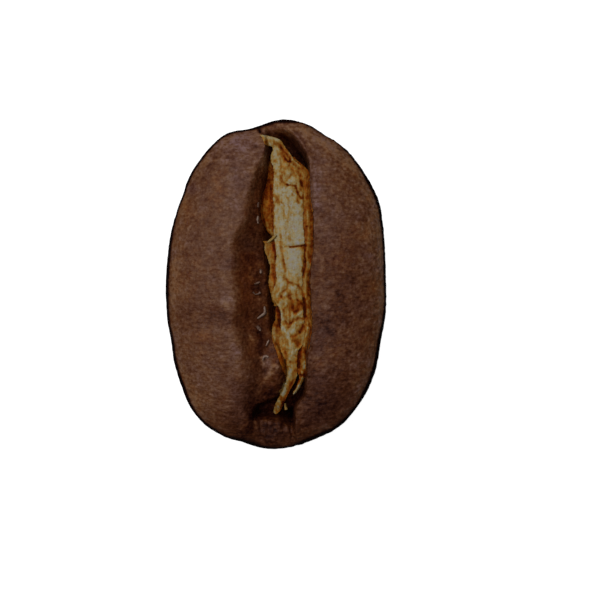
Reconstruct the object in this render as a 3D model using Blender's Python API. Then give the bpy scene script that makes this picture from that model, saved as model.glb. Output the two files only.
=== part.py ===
"""A roasted arabica coffee bean, lying on its domed back with the creased face up.

The bean is one solid with an open crease. A strip of papery silverskin lies in the crease, and
a few loose flakes of the same skin cling to the crease's left slope.

The frame: +Z is up, +Y runs along the bean towards the end where the crease hooks over, and +X is
to the right when the creased face is looked down on. The origin is on the surface that the bean
rests on, under the middle of the bean. Lengths are in millimetres, and METRES turns the finished
points into metres.
"""

import math

import bmesh
import bpy
import numpy as np
from mathutils.bvhtree import BVHTree

METRES = 0.001

# The bean's outline, looking down on the creased face: an oval between an ellipse and a rectangle.
HALF_LENGTH = 5.5
HALF_WIDTH = 3.68
OUTLINE_POWER = 2.3
# Where the outline leaves that oval: (direction in degrees from +X, spread in degrees, height).
OUTLINE_FEATURES = (
    (24, 10, 0.035),
    (40, 10, 0.12),
    (56, 8, 0.025),
    (72, 6, -0.09),
    (87, 4, 0.03),
    (99, 7, -0.20),
    (118, 10, -0.07),
    (135, 3, -0.03),
    (140, 16, -0.14),
    (165, 12, -0.03),
    (-152, 7, -0.05),
    (-138, 6, 0.03),
    (-121, 10, 0.135),
    (-102, 5, -0.08),
    (-93, 4, 0.03),
    (-76, 8, -0.09),
    (-43, 10, 0.045),
    (-28, 6, -0.035),
    (-12, 9, 0.035),
)

# The two sides of the widest line: a low swollen face above it, and a deep dome below.
FACE_RISE = 1.25
FACE_POWER = 2.4
DOME_DROP = 3.65
DOME_POWER = 2.1
REST_TRIM = 0.08  # the dome's lowest stretch is this much flattened, which makes the resting spot

# The crease, as (y, value) along the bean: where its left slope begins, over what width the slope
# steepens, how steep it gets, and the depth at which it levels out.
CREASE_LEFT = (
    (-5.5, -1.05), (-4.5, -1.00), (-4.1, -1.35), (-3.7, -1.32), (-3.3, -1.26), (-2.7, -1.18),
    (-2.1, -1.31), (-1.6, -1.43), (-1.2, -1.54), (-0.8, -1.40), (-0.2, -1.43), (0.3, -1.50),
    (0.8, -1.49), (1.3, -1.53), (1.8, -1.32), (2.2, -1.09), (2.6, -1.02), (3.0, -0.99),
    (3.4, -0.85), (3.8, -0.73), (4.2, -0.50), (4.6, -0.36), (5.5, -0.42),
)
SHOULDER = (
    (-5.5, 0.20), (-4.6, 0.25), (-4.1, 0.60), (-3.3, 0.65), (-2.6, 0.50), (-1.3, 0.45),
    (0.75, 0.38), (2.0, 0.38), (2.6, 0.33), (3.6, 0.30), (4.0, 0.28), (4.4, 0.22), (4.8, 0.12),
)
CREASE_TILT = (
    (-5.5, 0.5), (-4.5, 0.9), (-4.1, 0.5), (-3.6, 0.6), (-2.6, 0.66), (-1.3, 0.60), (0.0, 0.62),
    (1.5, 0.70), (2.4, 0.82), (3.2, 0.92), (3.6, 1.10), (4.0, 1.30), (4.4, 1.60), (4.8, 2.10),
)
CREASE_DEPTH = (
    (-5.5, 0.12), (-5.0, 0.24), (-4.6, 0.34), (-4.42, 0.56), (-4.3, 0.98), (-4.1, 1.22),
    (0.0, 1.40), (3.0, 1.40), (4.0, 1.30), (4.4, 1.20), (4.7, 0.95), (4.9, 0.62), (5.05, 0.38),
    (5.2, 0.20), (5.5, 0.08),
)
# The cleft, where the slope drops away under the silverskin.
CLEFT_LEFT = (
    (-5.5, -0.85), (-4.2, -0.80), (-4.0, -0.68), (-3.88, -0.35), (-3.75, -0.08), (-3.3, 0.22),
    (-2.8, 0.32), (-2.1, 0.06), (-1.5, -0.20), (-0.5, -0.28), (0.3, -0.35), (1.2, -0.44),
    (1.9, -0.42), (2.5, -0.60), (3.3, -0.50), (4.0, -0.40), (4.5, -0.38), (5.0, -0.42),
)
CLEFT_RUN = 0.25
CLEFT_DEPTH = (
    (-4.6, 0.0), (-4.42, 0.18), (-4.3, 0.42), (-4.0, 0.42), (-3.6, 0.26), (-3.0, 0.34),
    (0.0, 0.36), (3.0, 0.36), (4.0, 0.28), (4.5, 0.18), (4.8, 0.08), (5.05, 0.0),
)
# The right wall: where the top of it is, and how wide it is.
CREASE_RIGHT = (
    (-5.5, 0.88), (-5.0, 0.75), (-4.6, 0.70), (-4.2, 0.70), (-3.9, 0.82), (-3.7, 0.98),
    (-3.4, 1.06), (-2.9, 1.08), (-2.2, 1.12), (-1.7, 1.17), (-1.3, 1.23), (-0.8, 1.20),
    (0.3, 1.18), (0.8, 1.25), (1.3, 1.29), (2.2, 1.28), (2.5, 1.21), (2.9, 1.16), (3.4, 1.15),
    (3.8, 1.17), (4.1, 1.14), (4.4, 1.05), (4.7, 0.90), (5.0, 0.68), (5.2, 0.50), (5.5, 0.36),
)
CREASE_RIGHT_RUN = (
    (-5.5, 0.20), (-3.7, 0.17), (4.0, 0.15), (4.2, 0.20), (4.55, 0.38), (4.95, 0.42), (5.5, 0.40),
)
# The narrow end of the crease reaches this much further on its right side.
END_SLANT = 0.23
END_SLANT_ACROSS = (0.05, 0.55)
END_SLANT_ALONG = (-3.7, -4.2)
LIP_ROLL = 0.10  # how far the right lobe rolls down to its lip
LIP_ROLL_WIDTH = 0.5
# A swelling on the left slope, near the crease's narrow end.
LUMP_AT = (0.14, -2.80)
LUMP_REACH = (0.31, 0.70)
LUMP_RISE = 0.48
# Below the widest line the crease and the outline's features die out, by these latitudes.
CREASE_ENDS = (-25, 5)
FEATURES_END = (-50, -5)

# The bean's mesh: cuts along each edge of a cube that is swelled into the bean, and how strongly
# its lines are drawn together at the crease's two walls.
MESH_CUTS = 27
GATHER_RIGHT = (0.75, 0.9)  # (strength, reach)
GATHER_LEFT = (0.40, 0.8)
GATHER_LEFT_AT = -0.35

# The silverskin strip, from its tip at the hooked end to its other tip:
# (left x, left y, right x, right y, how far it lies below the lobes' crest).
SKIN_STATIONS = (
    (-0.50, 4.95, -0.44, 5.02, 0.10),
    (-0.38, 4.63, -0.12, 4.93, 0.22),
    (-0.15, 4.46, 0.28, 4.67, 0.35),
    (-0.18, 4.16, 0.62, 4.13, 0.42),
    (-0.25, 3.76, 1.01, 3.72, 0.46),
    (-0.42, 2.93, 1.04, 2.89, 0.48),
    (-0.45, 2.32, 1.14, 2.32, 0.48),
    (-0.22, 1.69, 1.20, 1.62, 0.48),
    (-0.35, 1.22, 1.18, 1.15, 0.48),
    (-0.22, 0.32, 1.06, 0.32, 0.50),
    (-0.08, -0.52, 1.07, -0.52, 0.52),
    (-0.05, -1.52, 1.09, -1.35, 0.55),
    (0.08, -2.19, 1.00, -2.12, 0.58),
    (0.28, -2.79, 0.75, -2.73, 0.62),
    (0.18, -3.39, 0.55, -3.39, 0.70),
    (-0.02, -3.93, 0.30, -3.93, 0.80),
    (-0.01, -4.27, 0.06, -4.29, 0.92),
)
SKIN_THICKNESS = 0.10
SKIN_GAP = 0.07  # where the slope would reach the strip, the strip lies this far above it
SKIN_CROWN = 0.12
SKIN_RINGS = 56
SKIN_ACROSS = 7

# Loose flakes on the left slope: (x, y, heading in degrees, length, width, bend in degrees).
FLAKES = (
    (-0.56, 2.64, 80, 0.20, 0.07, 15),
    (-0.57, 2.14, 95, 0.24, 0.08, -10),
    (-0.49, 0.44, 60, 0.16, 0.10, 20),
    (-0.62, 0.03, 25, 0.24, 0.07, -25),
    (-0.62, -0.28, 20, 0.26, 0.07, 40),
    (-0.42, -0.94, 60, 0.48, 0.07, 75),
    (-0.57, -1.44, -45, 0.24, 0.08, -25),
    (-0.30, -1.97, 50, 0.32, 0.07, 20),
    (-0.36, -2.41, 40, 0.26, 0.12, -30),
)
FLAKE_THICKNESS = 0.03
FLAKE_GAP = 0.06
FLAKE_RINGS = 9
ABOVE_ALL = 10.0  # a height over the whole bean, from which the slope is sounded


def clear_scene():
    for obj in list(bpy.data.objects):
        bpy.data.objects.remove(obj, do_unlink=True)


def material(name, colour, roughness):
    made = bpy.data.materials.new(name)
    made.use_nodes = True
    shader = made.node_tree.nodes["Principled BSDF"]
    shader.inputs["Base Color"].default_value = (*colour, 1.0)
    shader.inputs["Roughness"].default_value = roughness
    shader.inputs["Metallic"].default_value = 0.0
    return made


def ease(share):
    """0 up to share 0, 1 from share 1, and a smooth rise between them."""
    share = np.clip(share, 0, 1)
    return share * share * (3 - 2 * share)


def between(value, limits):
    """0 up to the first limit, 1 from the second, and a smooth rise between them."""
    return ease((value - limits[0]) / (limits[1] - limits[0]))


def bump(away):
    """A smooth hump: 1 where away is 0, and almost nothing from 2 on."""
    return np.exp(-(away**2))


def smooth_curve(points, at):
    """Reads, at the positions `at`, the smooth curve through (position, value) points that never
    swings past them: a cubic whose slope at each point is the harmonic mean of its neighbours'."""
    position, value = np.array(sorted(points), float).T
    gap = np.diff(position)
    slope = np.diff(value) / gap
    before, after = slope[:-1], slope[1:]
    together = before * after > 0
    mean = 2 * before * after / np.where(together, before + after, 1)
    tangent = np.concatenate([[0], np.where(together, mean, 0), [0]])
    at = np.clip(at, position[0], position[-1])
    i = np.clip(np.searchsorted(position, at) - 1, 0, len(gap) - 1)
    t = (at - position[i]) / gap[i]
    rise = value[i] * (1 - ease(t)) + value[i + 1] * ease(t)
    bend = tangent[i] * t * (1 - t) ** 2 - tangent[i + 1] * t * t * (1 - t)
    return rise + gap[i] * bend


def rim_oval(angle):
    """The plain oval's radius in the direction `angle`, in radians from +X."""
    across = np.abs(np.cos(angle)) / HALF_WIDTH
    along = np.abs(np.sin(angle)) / HALF_LENGTH
    return (across**OUTLINE_POWER + along**OUTLINE_POWER) ** (-1 / OUTLINE_POWER)


def rim_features(angle):
    """How far the outline stands out from the plain oval in the direction `angle`."""
    height = np.zeros_like(angle)
    for centre, spread, rise in OUTLINE_FEATURES:
        away = (np.degrees(angle) - centre + 180) % 360 - 180
        height += rise * bump(away / spread)
    return height


def crest_height(x, y):
    """The height of the creased face above the widest line, as if it had no crease."""
    angle = np.arctan2(y, x)
    share = np.hypot(x, y) / (rim_oval(angle) + rim_features(angle))
    return FACE_RISE * np.clip(1 - share**FACE_POWER, 0, 1) ** (1 / FACE_POWER)


def crease_fall(x, y):
    """How far the crease lowers the face at (x, y)."""
    right, run = smooth_curve(CREASE_RIGHT, y), smooth_curve(CREASE_RIGHT_RUN, y)
    past_left, shoulder = np.maximum(x - smooth_curve(CREASE_LEFT, y), 0), smooth_curve(SHOULDER, y)
    along = y + END_SLANT * between(x, END_SLANT_ACROSS) * between(y, END_SLANT_ALONG)
    depth = smooth_curve(CREASE_DEPTH, along)
    on_shoulder = np.minimum(past_left, shoulder)
    slope = on_shoulder**2 / (2 * shoulder) + past_left - on_shoulder
    slope = depth * np.tanh(slope * smooth_curve(CREASE_TILT, y) / depth)
    cleft = smooth_curve(CLEFT_DEPTH, along) * ease((x - smooth_curve(CLEFT_LEFT, y)) / CLEFT_RUN)
    roll = LIP_ROLL * depth / FACE_RISE * bump(np.maximum(x - right, 0) / LIP_ROLL_WIDTH)
    aside = ((x - LUMP_AT[0]) / LUMP_REACH[0], (y - LUMP_AT[1]) / LUMP_REACH[1])
    lump = LUMP_RISE * bump(aside[0]) * bump(aside[1])
    return (slope + cleft) * ease((right - x) / run) + roll * ease(past_left / shoulder) - lump


def gathered(x, y, share):
    """x with the mesh's lines drawn together at the crease's steep walls. share is 0 at the rim,
    where nothing moves, and 1 well inside it."""
    right = smooth_curve(CREASE_RIGHT, y) - smooth_curve(CREASE_RIGHT_RUN, y) / 2
    for wall, (strength, reach) in ((right, GATHER_RIGHT), (GATHER_LEFT_AT, GATHER_LEFT)):
        away = x - wall
        x = wall + away * (1 - strength * share * bump(away / reach))
    return x


def bean_points(directions):
    """The points of the bean's surface, in millimetres, for the unit vectors of a sphere."""
    level = np.hypot(directions[:, 0], directions[:, 1])
    height = directions[:, 2]
    angle = np.arctan2(directions[:, 1] * HALF_LENGTH, directions[:, 0] * HALF_WIDTH)
    latitude = np.degrees(np.arctan2(height, level))
    power = np.where(height >= 0, FACE_POWER, DOME_POWER)
    reach = (level**power + np.abs(height) ** power) ** (-1 / power)
    radius = rim_oval(angle) + between(latitude, FEATURES_END) * rim_features(angle)
    radius *= reach * level
    x, y = radius * np.cos(angle), radius * np.sin(angle)
    x = gathered(x, y, ease(latitude / 25))
    z = reach * height * np.where(height >= 0, FACE_RISE, DOME_DROP)
    return np.stack([x, y, z - between(latitude, CREASE_ENDS) * crease_fall(x, y)], axis=1)


def object_from(bm, name, finish):
    """A named object from a bmesh in millimetres, shaded smooth."""
    bmesh.ops.scale(bm, vec=(METRES, METRES, METRES), verts=bm.verts)
    bmesh.ops.recalc_face_normals(bm, faces=bm.faces)
    mesh = bpy.data.meshes.new(name)
    bm.to_mesh(mesh)
    bm.free()
    mesh.materials.append(finish)
    mesh.shade_smooth()
    mesh.set_sharp_from_angle(angle=math.radians(60))
    obj = bpy.data.objects.new(name, mesh)
    bpy.context.scene.collection.objects.link(obj)
    return obj


def make_bean(finish):
    """The bean: a finely cut cube swelled into its shape, with the resting spot cut flat."""
    bm = bmesh.new()
    bmesh.ops.create_cube(bm, size=2)
    bmesh.ops.subdivide_edges(bm, edges=bm.edges, cuts=MESH_CUTS, use_grid_fill=True)
    cube = np.array([v.co for v in bm.verts], float)
    even = np.tan(cube * math.pi / 4)  # spreads the cube's lines at equal angles
    directions = even / np.linalg.norm(even, axis=1, keepdims=True)
    for vertex, point in zip(bm.verts, bean_points(directions)):
        vertex.co = point
    rest_level = -DOME_DROP + REST_TRIM
    cut = bmesh.ops.bisect_plane(
        bm,
        geom=bm.verts[:] + bm.edges[:] + bm.faces[:],
        dist=1e-5,
        plane_co=(0, 0, rest_level),
        plane_no=(0, 0, -1),
        clear_outer=True,
    )
    rim = [edge for edge in cut["geom_cut"] if isinstance(edge, bmesh.types.BMEdge)]
    bmesh.ops.contextual_create(bm, geom=rim)
    return object_from(bm, "bean", finish)


def loft(name, rings, finish):
    """A closed solid through rings of points, each ring with the same number of points."""
    bm = bmesh.new()
    rows = [[bm.verts.new(point) for point in ring] for ring in rings]
    for row, following in zip(rows, rows[1:]):
        for i in range(len(row)):
            j = (i + 1) % len(row)
            bm.faces.new((row[i], row[j], following[j], following[i]))
    bm.faces.new(rows[0])
    bm.faces.new(reversed(rows[-1]))
    return object_from(bm, name, finish)


def plate_ring(x, y, top, thickness):
    """A ring of points around a thin plate's section: along its top, and back underneath."""
    upper = np.stack([x, y, top], axis=1)
    lower = upper - [0, 0, thickness]
    return np.concatenate([upper, lower[::-1]])


def height_on(surface, x, y):
    """The height, in millimetres, of the surface straight under (x, y)."""
    start = (x * METRES, y * METRES, ABOVE_ALL * METRES)
    return surface.ray_cast(start, (0, 0, -1))[0].z / METRES


def make_silverskin(slope, finish):
    """The strip of silverskin, crowned across and sagging deeper towards its narrow tip."""
    stations = np.array(SKIN_STATIONS)
    middles = (stations[:, 0:2] + stations[:, 2:4]) / 2
    along = np.concatenate([[0], np.cumsum(np.linalg.norm(np.diff(middles, axis=0), axis=1))])
    at = np.linspace(0, along[-1], SKIN_RINGS)
    left_x, left_y, right_x, right_y, sink = (
        smooth_curve(list(zip(along, column)), at) for column in stations.T
    )
    across = np.linspace(0, 1, SKIN_ACROSS)
    rings = []
    for k in range(SKIN_RINGS):
        x = left_x[k] + across * (right_x[k] - left_x[k])
        y = left_y[k] + across * (right_y[k] - left_y[k])
        width = math.hypot(right_x[k] - left_x[k], right_y[k] - left_y[k])
        crown = SKIN_CROWN * min(width, 1) * (1 - (2 * across - 1) ** 2)
        ground = np.array([height_on(slope, *point) for point in zip(x, y)])
        top = crest_height(x, y) - sink[k] + crown
        top = np.maximum(top, ground + SKIN_GAP + SKIN_THICKNESS)
        rings.append(plate_ring(x, y, top, SKIN_THICKNESS))
    return loft("silverskin", rings, finish)


def make_flake(name, x, y, heading, length, width, bend, slope, finish):
    """A flake that lies on the crease's slope, centred on (x, y) and bent in plan by `bend`."""
    step = length / (FLAKE_RINGS - 1)
    turns = np.radians(heading + bend * np.linspace(-0.5, 0.5, FLAKE_RINGS))
    line_x = np.cumsum(step * np.cos(turns))
    line_y = np.cumsum(step * np.sin(turns))
    line_x += x - line_x.mean()
    line_y += y - line_y.mean()
    across = np.array([-0.5, 0, 0.5])
    rings = []
    for k in range(FLAKE_RINGS):
        narrowing = 0.35 + 0.65 * math.sin(math.pi * (k + 0.5) / FLAKE_RINGS)
        side = across * width * narrowing
        ring_x = line_x[k] - side * math.sin(turns[k])
        ring_y = line_y[k] + side * math.cos(turns[k])
        ground = np.array([height_on(slope, *point) for point in zip(ring_x, ring_y)])
        top = ground + FLAKE_GAP + FLAKE_THICKNESS
        rings.append(plate_ring(ring_x, ring_y, top, FLAKE_THICKNESS))
    return loft(name, rings, finish)


def resting_shift(bean):
    """The move that puts the middle of the bean over the origin and its resting spot on z = 0."""
    corners = np.array([v.co for v in bean.data.vertices], float)
    low, high = corners.min(axis=0), corners.max(axis=0)
    return (-(low[0] + high[0]) / 2, -(low[1] + high[1]) / 2, -low[2])


def main():
    clear_scene()
    roasted = material("roasted_bean", (0.105, 0.048, 0.026), 0.5)
    papery = material("silverskin", (0.45, 0.30, 0.12), 0.6)
    bean = make_bean(roasted)
    slope = BVHTree.FromObject(bean, bpy.context.evaluated_depsgraph_get())
    pieces = [bean, make_silverskin(slope, papery)]
    for number, flake in enumerate(FLAKES, start=1):
        pieces.append(make_flake(f"silverskin_flake_{number}", *flake, slope, papery))
    shift = resting_shift(bean)
    for piece in pieces:
        piece.location = shift


main()
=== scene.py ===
"""The looks of a roasted arabica coffee bean with a crumpled strip of silverskin in its crease.

The bean's form is the CAD model's, drawn here with a much finer surface. Lengths are in
millimetres in the frame of the CAD model's tables, and place() turns them into the row's metres.
The skin, the bean's wrinkles and its changes in colour are placed by pixels of the photograph,
which px() turns into millimetres.
"""

import itertools
import math

import bpy
import numpy as np
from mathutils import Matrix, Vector


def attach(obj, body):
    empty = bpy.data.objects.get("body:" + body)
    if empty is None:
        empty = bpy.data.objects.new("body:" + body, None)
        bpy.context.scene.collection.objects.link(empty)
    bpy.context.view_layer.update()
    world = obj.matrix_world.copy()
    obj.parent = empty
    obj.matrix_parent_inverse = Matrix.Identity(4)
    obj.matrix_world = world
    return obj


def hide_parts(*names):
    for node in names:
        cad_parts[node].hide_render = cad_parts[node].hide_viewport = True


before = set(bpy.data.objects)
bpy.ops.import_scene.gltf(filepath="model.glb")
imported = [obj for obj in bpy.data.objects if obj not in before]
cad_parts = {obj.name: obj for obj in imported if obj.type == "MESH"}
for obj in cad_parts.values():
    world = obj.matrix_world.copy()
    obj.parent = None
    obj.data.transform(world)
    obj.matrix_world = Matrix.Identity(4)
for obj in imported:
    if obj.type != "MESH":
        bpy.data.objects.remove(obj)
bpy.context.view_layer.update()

METRES = 0.001

# The photograph: its width, how many of its pixels make a millimetre, and the pixel of the bean's
# middle.
FRAME_PX = 600
PIXELS_PER_MM = 29.9
MIDDLE_PX = (275.5, 284.5)

# The bean's form, as in the CAD model: its outline, with features as (angle, spread, rise) in
# degrees and millimetres, the rise and drop of its two halves, and the level it rests on.
HALF_LENGTH = 5.5
HALF_WIDTH = 3.68
OUTLINE_POWER = 2.3
OUTLINE_FEATURES = (
    (24, 10, 0.035), (40, 10, 0.12), (56, 8, 0.025), (72, 6, -0.09), (87, 4, 0.03), (99, 7, -0.2),
    (118, 10, -0.07), (135, 3, -0.03), (140, 16, -0.14), (165, 12, -0.03), (-152, 7, -0.05),
    (-138, 6, 0.03), (-121, 10, 0.135), (-102, 5, -0.08), (-93, 4, 0.03), (-76, 8, -0.09),
    (-43, 10, 0.045), (-28, 6, -0.035), (-12, 9, 0.035),
)
FACE_RISE = 1.25
FACE_POWER = 2.4
DOME_DROP = 3.65
DOME_POWER = 2.1
REST_TRIM = 0.08
REST_LEVEL = REST_TRIM - DOME_DROP

# The crease, as (y, value) along the bean, as in the CAD model: where its left slope begins, over
# what width the slope steepens, how steep it gets, and the depth at which it levels out.
CREASE_LEFT = (
    (-5.5, -1.05), (-4.5, -1.0), (-4.1, -1.35), (-3.7, -1.32), (-3.3, -1.26), (-2.7, -1.18),
    (-2.1, -1.31), (-1.6, -1.43), (-1.2, -1.54), (-0.8, -1.4), (-0.2, -1.43), (0.3, -1.5),
    (0.8, -1.49), (1.3, -1.53), (1.8, -1.32), (2.2, -1.09), (2.6, -1.02), (3.0, -0.99),
    (3.4, -0.85), (3.8, -0.73), (4.2, -0.5), (4.6, -0.36), (5.5, -0.42),
)
SHOULDER = (
    (-5.5, 0.2), (-4.6, 0.25), (-4.1, 0.6), (-3.3, 0.65), (-2.6, 0.5), (-1.3, 0.45), (0.75, 0.38),
    (2.0, 0.38), (2.6, 0.33), (3.6, 0.3), (4.0, 0.28), (4.4, 0.22), (4.8, 0.12),
)
CREASE_TILT = (
    (-5.5, 0.5), (-4.5, 0.9), (-4.1, 0.5), (-3.6, 0.6), (-2.6, 0.66), (-1.3, 0.6), (0.0, 0.62),
    (1.5, 0.7), (2.4, 0.82), (3.2, 0.92), (3.6, 1.1), (4.0, 1.3), (4.4, 1.6), (4.8, 2.1),
)
CREASE_DEPTH = (
    (-5.5, 0.12), (-5.0, 0.24), (-4.6, 0.34), (-4.42, 0.56), (-4.3, 0.98), (-4.1, 1.22), (0.0, 1.4),
    (3.0, 1.4), (4.0, 1.3), (4.4, 1.2), (4.7, 0.95), (4.9, 0.62), (5.05, 0.38), (5.2, 0.2),
    (5.5, 0.08),
)
# The cleft, where the slope drops away under the silverskin: its left edge, over what width it
# drops, and how far.
CLEFT_LEFT = (
    (-5.5, -0.85), (-4.2, -0.8), (-4.0, -0.68), (-3.88, -0.35), (-3.75, -0.08), (-3.3, 0.22),
    (-2.8, 0.32), (-2.1, 0.06), (-1.5, -0.2), (-0.5, -0.28), (0.3, -0.35), (1.2, -0.44),
    (1.9, -0.42), (2.5, -0.6), (3.3, -0.5), (4.0, -0.4), (4.5, -0.38), (5.0, -0.42),
)
CLEFT_RUN = 0.25
CLEFT_DEPTH = (
    (-4.6, 0.0), (-4.42, 0.18), (-4.3, 0.42), (-4.0, 0.42), (-3.6, 0.26), (-3.0, 0.34), (0.0, 0.36),
    (3.0, 0.36), (4.0, 0.28), (4.5, 0.18), (4.8, 0.08), (5.05, 0.0),
)
# The crease's right edge, and over what width its right wall rises to it.
CREASE_RIGHT = (
    (-5.5, 0.88), (-5.0, 0.75), (-4.6, 0.7), (-4.2, 0.7), (-3.9, 0.82), (-3.7, 0.98), (-3.4, 1.06),
    (-2.9, 1.08), (-2.2, 1.12), (-1.7, 1.17), (-1.3, 1.23), (-0.8, 1.2), (0.3, 1.18), (0.8, 1.25),
    (1.3, 1.29), (2.2, 1.28), (2.5, 1.21), (2.9, 1.16), (3.4, 1.15), (3.8, 1.17), (4.1, 1.14),
    (4.4, 1.05), (4.7, 0.9), (5.0, 0.68), (5.2, 0.5), (5.5, 0.36),
)
CREASE_RIGHT_RUN = (
    (-5.5, 0.2), (-3.7, 0.17), (4.0, 0.15), (4.2, 0.2), (4.55, 0.38), (4.95, 0.42), (5.5, 0.4),
)
# The narrow end of the crease reaches this much further on its right side.
END_SLANT = 0.23
END_SLANT_ACROSS = (0.05, 0.55)
END_SLANT_ALONG = (-3.7, -4.2)
# The right lobe's rolled edge, and the lump on the slope by the crease's narrow end.
LIP_ROLL = 0.10
LIP_ROLL_WIDTH = 0.5
LUMP_AT = (0.14, -2.80)
LUMP_REACH = (0.31, 0.70)
LUMP_RISE = 0.48
# The latitudes, in degrees, between which the crease and the outline's features come in.
CREASE_ENDS = (-25, 5)
FEATURES_END = (-50, -5)

# The mesh has this many cells across the bean's face, and across its dome, spaced along profiles
# of so many steps. A coarse one shows where the middle of the CAD tables' bean lies.
BEAN_CELLS = 222
COARSE_CELLS = 60
PROFILE_STEPS = 2001
# The mesh's lines are drawn together at the crease's two walls, each (how strongly, over what
# width), and the more so the higher they are between these latitudes.
GATHER_RIGHT = (0.75, 0.9)
GATHER_LEFT = (0.40, 0.8)
GATHER_LEFT_AT = -0.35
GATHER_LATITUDES = (0, 25)

# Where the bean's parts come to have their own look: each lobe's this far from the middle, the
# face's relief, marks and hues between these latitudes, the crease's after this many shoulder
# widths and where it is this deep, and that of the low cap at its narrow end.
LOBE_SIDE = 0.8
FACE_LATITUDES = (-10, 10)
MARK_LATITUDES = (5, 15)
HUE_LATITUDES = (-20, 10)
CREASE_SHOULDERS = 1.2
CREASE_FULL_DEPTH = 0.7
LUMP_SPREAD = 1.1
CAP_ACROSS = 0.9
CAP_ALONG = (-4.35, -4.6)
CAP_LATITUDES = (14, 28)

# The bean's fine relief, as layers of noise: (height in mm, grain in mm, seed, octaves).
SWELL = (0.030, 1.7, 11, 1)
SMALL_SWELL = (0.010, 0.7, 12, 1)
LEFT_BANDS = (0.014, (2.6, 0.60, 2.0), 21, 1)
LEFT_WRINKLES = (0.008, (0.50, 0.13, 0.4), 25, 2)
PEBBLES = (0.005, 0.20, 41, 2)
PEBBLES_RIGHT = 1.2  # the right lobe has so much more of them
SLOPE_GRAIN = (0.010, 0.30, 51, 2)
SLOPE_RIDGES = (0.010, 0.24, 55, 1)
KNOTS = (0.070, (0.20, 0.15, 0.3), 57, 2)
CAP_RELIEF = (0.050, (0.13, 0.36, 0.3), 61, 2)
DOME_GRAIN = (0.020, (0.55, 2.4, 0.8), 71, 1)
DOME_RIDGES = (0.010, (0.3, 0.9, 0.3), 75, 1)
# The right lobe's slanting wrinkles: the cosine and sine of their slant, their noise and height.
SLANT = (0.94, 0.34)
SLANT_NOISE = (1, (0.50, 0.22, 0.4), 31, 2)
SLANT_RISE = 0.015

# The grain of the roast's tone, in the same way, with changes in tone in place of heights.
STREAKS = (0.13, (0.30, 0.14, 0.3), 81, 2)
MOTTLE = (0.09, 0.40, 85, 1)
CREASE_MOTTLE = (0.05, 0.35, 87, 1)
CAP_MOTTLE = (0.12, 0.40, 88, 1)
LUMP_MOTTLE = (0.22, 0.10, 89, 2)
SLANT_TONE = 0.10
SLANT_MEAN = 0.3
RIGHT_STREAKS = 0.3  # how strong the streaks are on the right lobe

# How light the roast is, 0 to 1, and where it is lighter or darker than the rest of the lobes:
# (middle x, middle y, reach x, reach y, change), in pixels of the photograph. Besides the roast's
# own changes, some patches are painted shade, as over the lower right and round the crease's narrow
# end, and some painted light, as on the shoulder's small bumps and on the shaded slope of the
# crease.
LOBE_TONE = 0.78
TONE_LIGHT_AND_SHADE_PATCHES = (
    (232, 185, 16, 40, 0.04), (218, 316, 20, 8, -0.14), (185, 314, 25, 7, -0.05),
    (226, 274, 7, 7, 0.1), (228, 302, 6, 6, 0.14), (228, 236, 10, 13, 0.07), (245, 297, 6, 7, 0.07),
    (190, 390, 25, 35, 0.06), (236, 352, 7, 18, 0.07), (244, 434, 24, 26, -0.24),
    (218, 428, 20, 18, -0.08), (340, 300, 26, 62, -0.15), (322, 325, 10, 12, -0.1),
    (374, 222, 12, 55, 0.08), (328, 408, 44, 40, -0.28), (370, 380, 16, 24, 0.12),
    (294, 127, 12, 6, 0.08), (261, 343, 3.5, 11, -0.18), (252, 343, 4, 12, 0.1),
    (267, 298, 4, 38, 0.12), (268, 330, 3, 12, 0.08), (256, 362, 4, 8, -0.08),
    (271, 364, 7, 14, 0.1), (267, 381, 8, 8, 0.1), (263, 410, 12, 7, -0.1), (265, 165, 4, 10, 0.38),
    (267, 151, 3.2, 3.4, -0.12), (260, 132.3, 2.2, 2.6, -0.5), (266, 136, 4.2, 1.2, -0.3),
    (270, 131, 6, 2.5, 0.12), (272, 406, 18, 5, 0.07), (299, 152, 6, 9, -0.06),
    (278, 127, 18, 3.5, -0.16), (236, 390, 7, 12, -0.08), (290, 396, 7, 12, 0.08),
)
# How golden, below 0, or purplish grey, above 0, the roast is: all over, in the crease, and in
# patches, in the same way. The purplish grey patches are partly a painted sheen and painted glints,
# as on the lump and the lips, and the crease's golden red goes with its painted shade.
HUE_BASE = 0.05
CREASE_HUE = -0.45
HUE_PATCHES = (
    (245, 143, 14, 10, 0.5), (226, 151, 24, 18, 0.2), (220, 192, 9, 24, -0.35),
    (193, 189, 5, 6, 0.9), (185, 212, 12, 20, -0.35), (239, 188, 8, 36, 0.45),
    (190, 282, 22, 22, -0.25), (226, 296, 8, 8, 0.4), (231, 265, 9, 6, 0.5),
    (247, 285, 9, 24, -0.7), (250, 245, 10, 8, 0.7), (250, 262, 8, 8, -0.4), (262, 287, 4, 5, 0.7),
    (235, 350, 6, 14, 0.4), (205, 338, 14, 8, -0.5), (243, 396, 14, 16, 0.8), (253, 377, 8, 9, 0.6),
    (228, 398, 6, 6, -0.4), (240, 379, 5, 4, -0.5), (195, 400, 10, 10, -0.3),
    (270, 431, 24, 13, 0.4), (248, 428, 5, 6, -0.4), (269, 366, 8, 14, 0.6), (316, 188, 6, 30, 0.6),
    (345, 180, 12, 20, -0.35), (330, 225, 12, 22, 0.4), (360, 232, 20, 12, -0.35),
    (357, 219, 5, 4, 0.6), (340, 262, 14, 16, -0.45), (367, 257, 9, 14, 0.4), (347, 283, 9, 6, 0.3),
    (374, 286, 8, 10, -0.4), (358, 306, 9, 6, 0.5), (328, 330, 9, 6, 0.7), (318, 345, 8, 14, 0.7),
    (364, 342, 10, 6, -0.35), (330, 352, 12, 8, -0.35), (318, 364, 8, 6, -0.45),
    (360, 358, 9, 8, 0.4), (318, 379, 9, 9, 0.7), (335, 400, 30, 24, 0.4), (318, 416, 10, 12, 0.6),
    (297, 151, 8, 12, 0.8), (267, 152, 4, 5, 0.8),
)
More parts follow.
